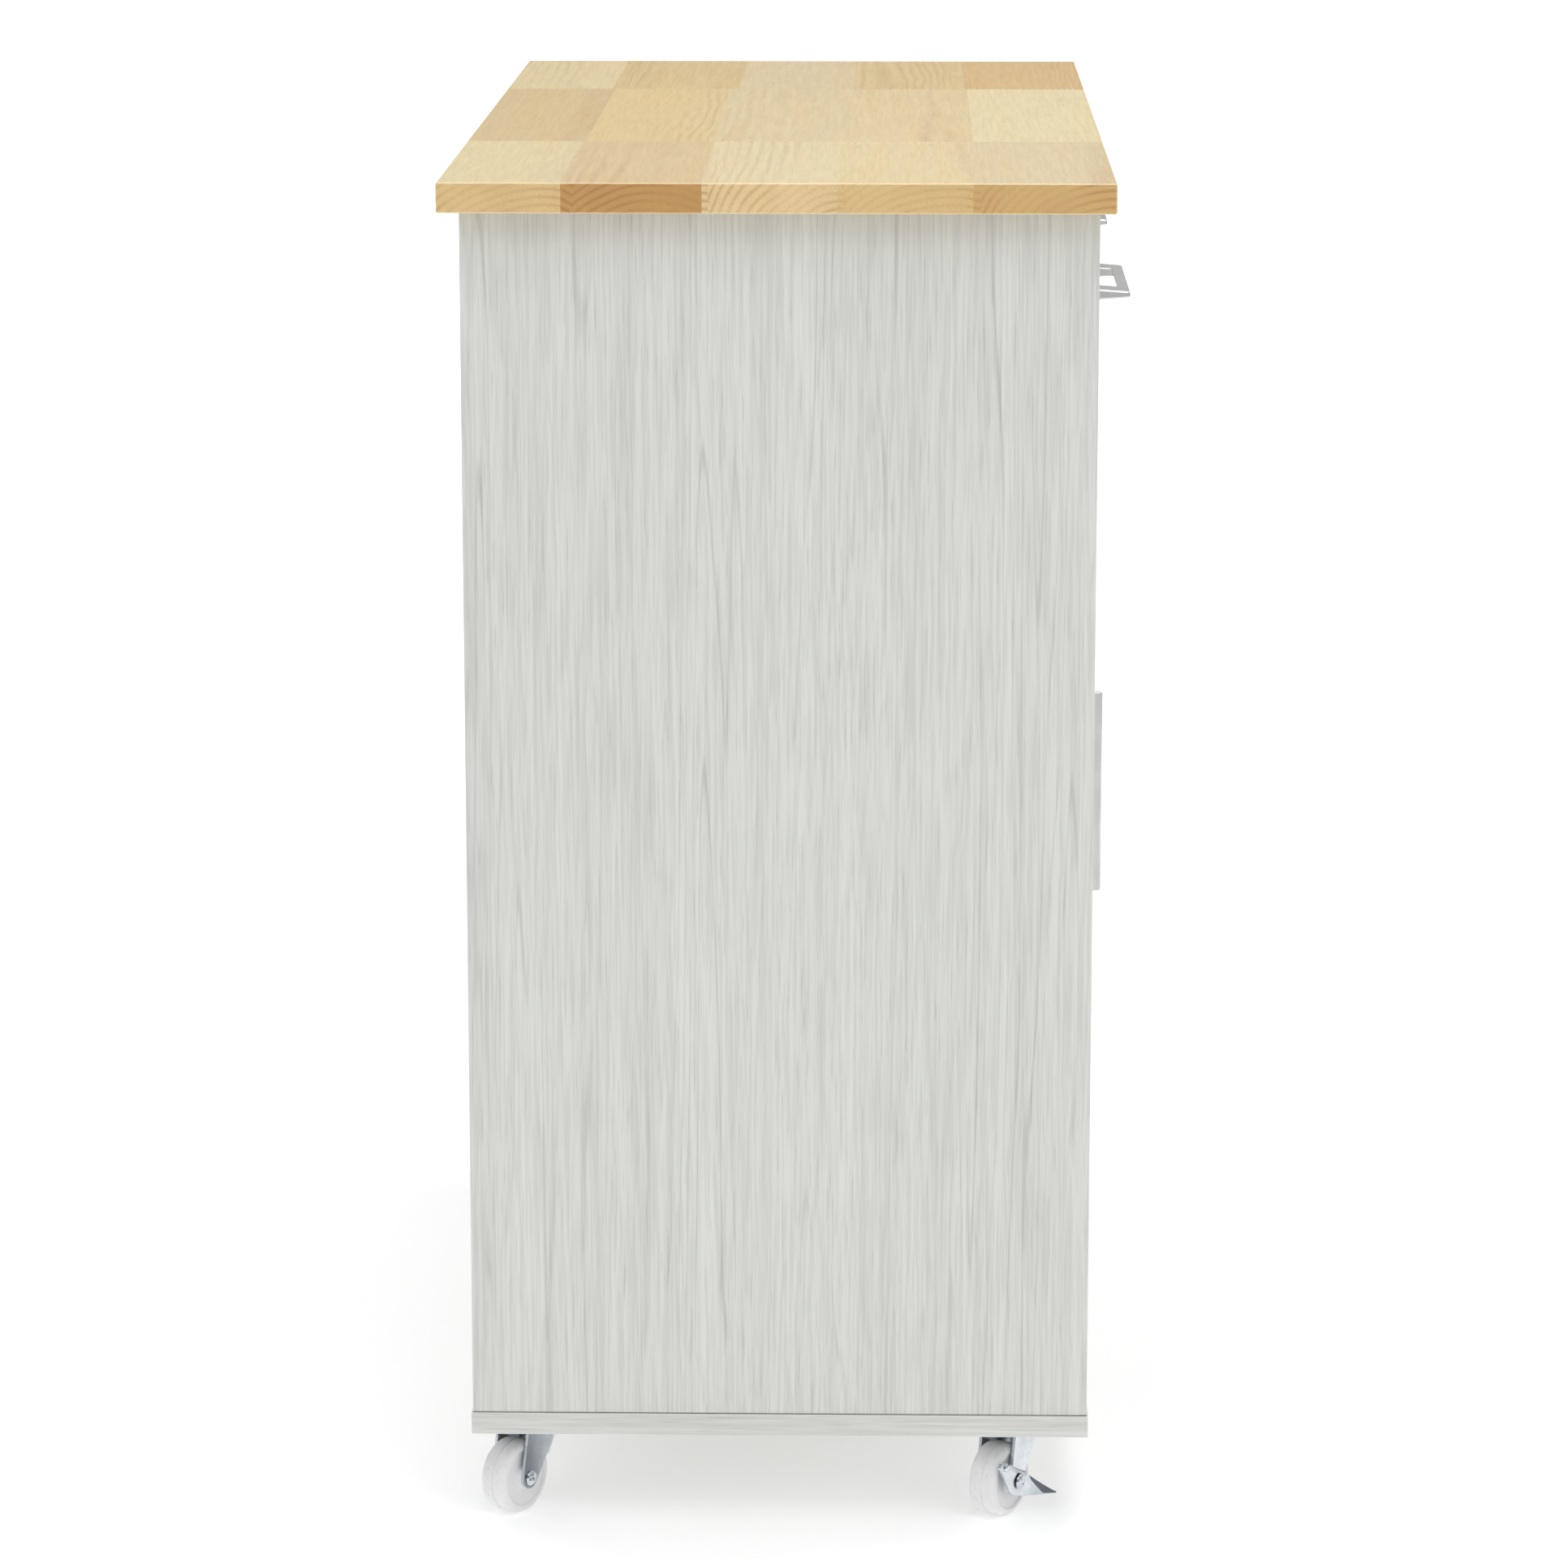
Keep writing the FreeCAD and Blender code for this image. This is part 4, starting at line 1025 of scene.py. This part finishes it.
def floor_finish(name):
    """A matt white sheet that glows a little more the farther it is from the lights."""
    f = Finish(name)
    speckle = f.noise(f.place, 3.0, detail=2.0)
    tint = f.blend(speckle, paint(250, 250, 250), paint(246, 246, 246))
    distance = f.node("ShaderNodeVectorMath", {"operation": "LENGTH"}, {0: f.place}, out=1)
    away = f.rise(distance, glow_starts, floor_radius)
    glow = f.blend(away, *[(level, level, level, 1.0) for level in (near_glow, far_glow)])
    return f.done(tint, 0.8, Emission_Color=glow, Emission_Strength=1.0, Specular_IOR_Level=0.0)


def plain_finish(name, light, shade, glow):
    """Evenly coloured paper or cloth, with a faint cloudiness."""
    f = Finish(name)
    tint = f.blend(f.noise(f.place, 3.0, detail=2.0), light, shade)
    return f.done(tint, 0.9, Emission_Color=(1.0, 1.0, 1.0, 1.0), Emission_Strength=glow)


print("floor glow:", near_glow, "to", far_glow)


# %% Studio shapes
def disc(radius, z, steps=96):
    """A flat round sheet."""
    turn = np.linspace(0, 2 * math.pi, steps, endpoint=False)
    return lid(np.stack([radius * np.cos(turn), radius * np.sin(turn), z + 0 * turn], axis=-1))


def bowl(radius, low, high, rows=24, steps=96):
    """Part of a sphere seen from inside: radius times cosine and sine of height and turn."""
    rise = np.linspace(low, high, rows)[:, None]
    turn = np.linspace(0, 2 * math.pi, steps, endpoint=False)[None, :]
    flat = radius * np.cos(rise)
    points = np.stack([flat * np.cos(turn), flat * np.sin(turn), radius * np.sin(rise) + 0 * turn],
                      axis=-1)
    return patch(points, around=True)


def stage_piece(name, shape, finish, unseen_by=()):
    """A piece of the studio, hidden from the kinds of ray in unseen_by."""
    mesh = bpy.data.meshes.new(name)
    mesh.from_pydata(shape[0].tolist(), [], shape[1])
    mesh.materials.append(finish)
    made = bpy.data.objects.new(name, mesh)
    scene.collection.objects.link(made)
    for kind in unseen_by:
        setattr(made, "visible_" + kind, False)
    return made


print("studio shapes ready")

# %% Floor, backdrop, curtain and card
camera_only = ("diffuse", "glossy", "transmission", "shadow")
reflections_only = ("camera", "diffuse", "transmission", "shadow")
backdrop_foot, backdrop_top = -1.4, math.pi / 2
curtain_foot, curtain_top = 0.03, 0.42
card_corners = [(x, y, 0.5 * mm) for x, y in
                ((-0.47, -0.03), (-0.355, -0.03), (-0.401, 0.13), (-0.47, 0.13))]

stage_piece("floor", disc(floor_radius, 0.0), floor_finish("floor_sheet"))
stage_piece("backdrop", bowl(backdrop_radius, backdrop_foot, backdrop_top),
            plain_finish("backdrop_paper", paint(250, 250, 250), paint(248, 248, 248), 1.0),
            unseen_by=camera_only)
stage_piece("curtain", bowl(curtain_radius, curtain_foot, curtain_top, rows=6),
            plain_finish("curtain_cloth", paint(128, 132, 138), paint(108, 112, 118), 0.0),
            unseen_by=reflections_only)
# painted shade for reflections: the card stands in for the shaded floor under the cabinet
stage_piece("shade_card", lid(np.array(card_corners)),
            plain_finish("shade_card", paint(150, 158, 170), paint(138, 146, 158), 0.0),
            unseen_by=reflections_only)
print("floor radius:", floor_radius, "m")

# %% Lights
world = bpy.data.worlds.new("room")
world.use_nodes = True
room_light = world.node_tree.nodes["Background"].inputs
room_light["Color"].default_value = (0.98, 0.99, 1.0, 1.0)
room_light["Strength"].default_value = 0.43
scene.world = world
scene.view_settings.view_transform = "Standard"


def soft_light(name, at, aim, size, power):
    """A square area light at a point, facing another point."""
    data = bpy.data.lights.new(name, "AREA")
    data.size, data.energy = size, power
    light = bpy.data.objects.new(name, data)
    light.location = at
    light.rotation_mode = "QUATERNION"
    light.rotation_quaternion = (Vector(aim) - Vector(at)).to_track_quat("-Z", "Y")
    scene.collection.objects.link(light)


lights = {  # its place, its side in metres and its watts
    "overhead": ((0.3, -0.1, 3.1), 2.2, 34.0),
    "end_key": ((-1.8, -0.3, 2.7), 1.6, 16.0),
    "end_fill_left": ((-3.2, 2.4, 2.2), 1.8, 12.0),
    "end_fill_right": ((-3.0, -2.6, 2.2), 1.8, 10.0),
    "front_fill": ((1.4, -3.6, 2.0), 2.0, 20.0),
    "back_fill": ((2.6, 3.0, 2.2), 2.0, 24.0),
}
middle = (cad_box[0] + cad_box[1]) / 2
for name, (at, size, power) in lights.items():
    soft_light(name, at, middle, size, power)
